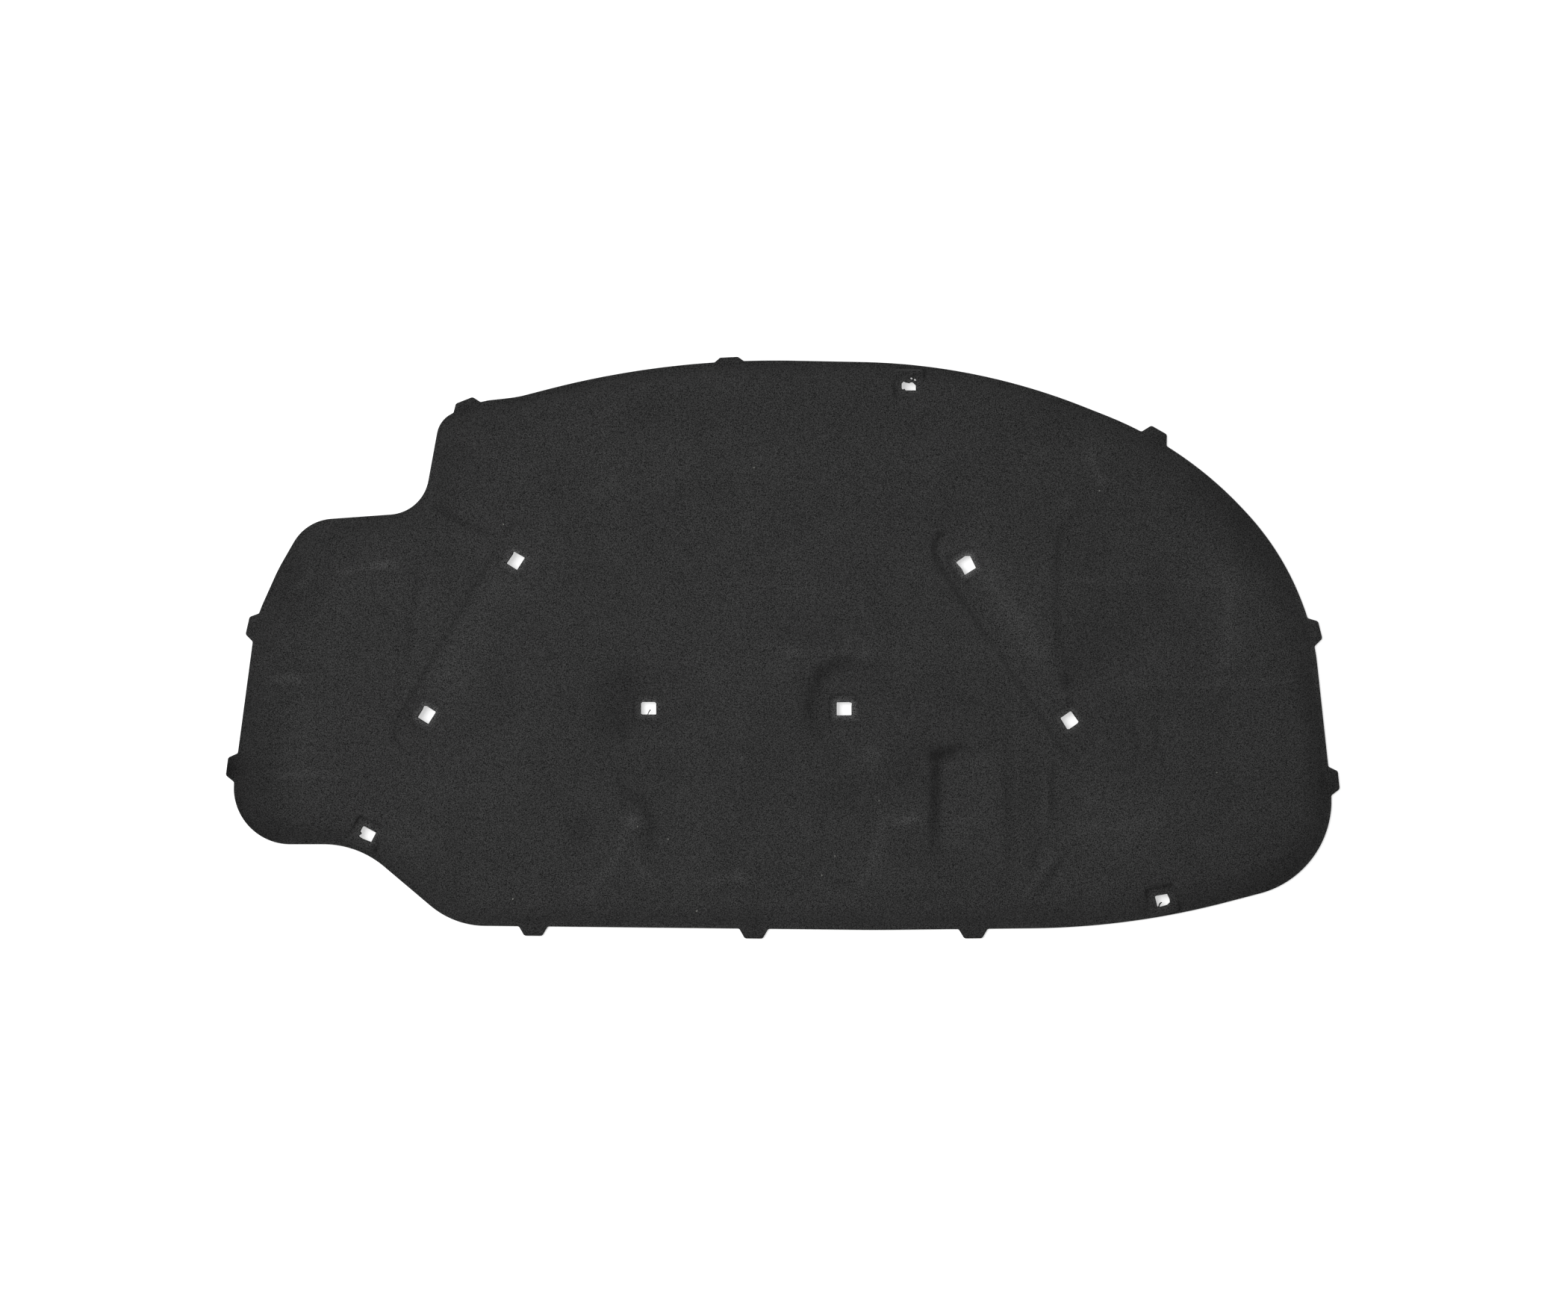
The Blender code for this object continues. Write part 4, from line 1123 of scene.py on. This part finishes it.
# The hole, the radius, and the five points of the path: offsets from the hole and heights, in mm
STRANDS = [
    ("corner_right", 0.8 * MM, [
        (-3.9, -10, 5), (-3.8, -7, 5.5), (-3.2, -4.6, 6), (-1.6, -3.1, 6), (-0.8, -3.9, 6),
    ]),
    ("basin_left", 0.5 * MM, [
        (-1.6, -10, 4), (-1.1, -7, 4), (-0.4, -5, 4.5), (0.8, -3.4, 5), (1.9, -2.2, 5),
    ]),
]


def join_pieces(pieces, name):
    """Makes one piece of several and names it."""
    bpy.ops.object.select_all(action="DESELECT")
    for piece in pieces:
        piece.select_set(True)
    bpy.context.view_layer.objects.active = pieces[0]
    bpy.ops.object.join()
    bpy.context.active_object.name = name
    return bpy.context.active_object


fibres = []
for name, radius, points in STRANDS:
    bpy.ops.object.select_all(action="DESELECT")
    bpy.ops.curve.primitive_nurbs_path_add()
    fibre = bpy.context.active_object
    x, y, turn = CLIP_HOLES[name]
    for path_point, (dx, dy, height) in zip(fibre.data.splines[0].points, points):
        path_point.co = (x + dx * MM, y + dy * MM, height * MM, 1)
    path_point.radius = KNOT_SWELLING
    fibre.data.resolution_u = PATH_STEPS
    fibre.data.bevel_depth = radius
    fibre.data.bevel_resolution = BEVEL_STEPS
    fibre.data.use_fill_caps = True
    bpy.ops.object.convert(target="MESH")
    fibres.append(fibre)
strands = join_pieces(fibres, "strands")
strands.data.materials.append(felt)
print("Strands:", len(strands.data.polygons), "faces")

# %% [markdown]
# A speck of lint is a tiny ball of fibre, flattened where it lies. An ico sphere is turned, pressed
# flat and roughened with Randomize, and a ray cast down on the pad tells how high it lies.

# %% Specks of lint
LINT_RADIUS = 0.9 * MM
LINT_FLATNESS = 0.5
LINT_ROUGHNESS = 0.25 * MM
LINT_SINK = 0.1 * MM
LINT_COLOUR = (0.16, 0.16, 0.15)
LINT_SUBDIVISIONS = 2
CAST_HEIGHT = 1
DOWNWARDS = Vector((0, 0, -1))
# Place in mm, length against width, turn in degrees
LINT = [
    (-99.9, -306.5, 1.5, 20),
    (45.8, -264.9, 1.2, 75),
    (506, -145.3, 1.3, 140),
    (-314.1, -292.7, 1.4, 60),
    (-325.4, 143.5, 1.2, 110),
    (-33.2, 209.8, 1.6, 35),
    (369.1, 182.8, 1.2, 0),
    (-168.6, -208.1, 1.3, 80),
    (-133.2, -223.1, 1.5, 130),
    (61.3, -242.6, 1.2, 15),
    (112.7, -177.8, 1.4, 95),
]

specks = []
for number, (x, y, length, turn) in enumerate(LINT):
    above = Vector((x * MM, y * MM, CAST_HEIGHT))
    hit, place, normal, face = pad.ray_cast(above, DOWNWARDS)
    bpy.ops.object.select_all(action="DESELECT")
    bpy.ops.mesh.primitive_ico_sphere_add(subdivisions=LINT_SUBDIVISIONS, radius=LINT_RADIUS)
    speck = bpy.context.active_object
    edit_only(speck)
    bpy.ops.transform.vertex_random(offset=LINT_ROUGHNESS, seed=number)
    bpy.ops.object.mode_set(mode="OBJECT")
    speck.scale = (length, 1, LINT_FLATNESS)
    speck.rotation_euler = (0, 0, math.radians(turn))
    speck.location = place + Vector((0, 0, LINT_RADIUS * LINT_FLATNESS - LINT_SINK))
    bpy.ops.object.transform_apply(location=True, rotation=True, scale=True)
    bpy.ops.object.shade_smooth()
    specks.append(speck)
lint = join_pieces(specks, "lint")
lint.data.materials.append(make_felt("pale_lint", LINT_COLOUR))
print("Lint:", len(lint.data.polygons), "faces")

# %% [markdown]
# The floor is a wide pale plane. It is plain diffuse, so it takes the soft shadow of the pad, and
# what the camera sees of it gets a little light of its own, which lifts it to the photo's white.

# %% The floor
FLOOR_SIZE = 12
FLOOR_DROP = 0.4 * MM
FLOOR_COLOUR = (0.82, 0.82, 0.82, 1)
FLOOR_GLOW = 0.5


def seen_or_mirrored(owner, path):
    """One for what the camera sees, by itself, in a gloss or through glass, and else nought."""
    rays = path.outputs
    mirrored = combined(owner, "Or mirrored", "MAXIMUM", rays["Is Camera Ray"], rays["Is Glossy Ray"])
    return combined(owner, "Or in glass", "MAXIMUM", mirrored, rays["Is Transmission Ray"])


bpy.ops.object.select_all(action="DESELECT")
bpy.ops.mesh.primitive_plane_add(size=FLOOR_SIZE, location=(0, 0, -FLOOR_DROP))
floor = bpy.context.active_object
floor.name = "floor"
floor_paint = bpy.data.materials.new("floor_paint")
floor_paint.use_nodes = True
nodes = floor_paint.node_tree.nodes
nodes.remove(nodes["Principled BSDF"])
matt = new_node(floor_paint, "ShaderNodeBsdfDiffuse", "Plain paint", Color=FLOOR_COLOUR)
glow = new_node(floor_paint, "ShaderNodeEmission", "Glow for the camera")
path = new_node(floor_paint, "ShaderNodeLightPath", "Kind of ray")
both = new_node(floor_paint, "ShaderNodeAddShader", "Paint and glow")
share = new_node(floor_paint, "ShaderNodeMath", "Glow strength", operation="MULTIPLY")
share.inputs[1].default_value = FLOOR_GLOW
link(floor_paint, seen_or_mirrored(floor_paint, path), share.inputs[0])
link(floor_paint, share.outputs[0], glow.inputs["Strength"])
link(floor_paint, matt.outputs[0], both.inputs[0])
link(floor_paint, glow.outputs[0], both.inputs[1])
link(floor_paint, both.outputs[0], nodes["Material Output"].inputs["Surface"])
floor.data.materials.append(floor_paint)
print("Floor:", FLOOR_SIZE, "m wide")

# %% [markdown]
# One large round softbox stands at the upper left, so a fold has a lit side and a dark side with a
# soft change between them. An even sky fills the shadows. A sun lamp would draw harder lines than
# the photograph has. The sky looks white to the camera, but it lights the felt far less.

# %% Sky and softbox
SKY_LIGHT = 0.4
KEY_POWER = 315
KEY_DIAMETER = 4.6
KEY_DISTANCE = 6.5
KEY_HEIGHT_ANGLE = math.radians(55)
KEY_SIDE_ANGLE = math.radians(157)
WHITE = (1, 1, 1, 1)

world = bpy.data.worlds.new("studio")
world.use_nodes = True
bpy.context.scene.world = world
sky_light = world.node_tree.nodes["Background"]
sky_light.inputs["Color"].default_value = WHITE
seen = new_node(world, "ShaderNodeLightPath", "Kind of ray")
strength = new_node(world, "ShaderNodeMapRange", "White to the camera")
strength.inputs["To Min"].default_value = SKY_LIGHT
strength.inputs["To Max"].default_value = 1
link(world, seen_or_mirrored(world, seen), strength.inputs["Value"])
link(world, strength.outputs["Result"], sky_light.inputs["Strength"])

key_data = bpy.data.lights.new("softbox", "AREA")
key_data.shape = "DISK"
key_data.size = KEY_DIAMETER
key_data.energy = KEY_POWER
key = bpy.data.objects.new("softbox", key_data)
level = math.cos(KEY_HEIGHT_ANGLE)
towards = Vector((
    level * math.cos(KEY_SIDE_ANGLE), level * math.sin(KEY_SIDE_ANGLE), math.sin(KEY_HEIGHT_ANGLE)
))
key.location = towards * KEY_DISTANCE
key.rotation_mode = "QUATERNION"
key.rotation_quaternion = towards.to_track_quat("Z", "Y")
bpy.context.scene.collection.objects.link(key)
bpy.context.scene.view_settings.view_transform = "Standard"
print("Sky", SKY_LIGHT, "and softbox", KEY_POWER)

# %% Hand over to the frame
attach(pad, "root")
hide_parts("insulation_pad")
for piece in (strands, lint):
    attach(piece, "root")
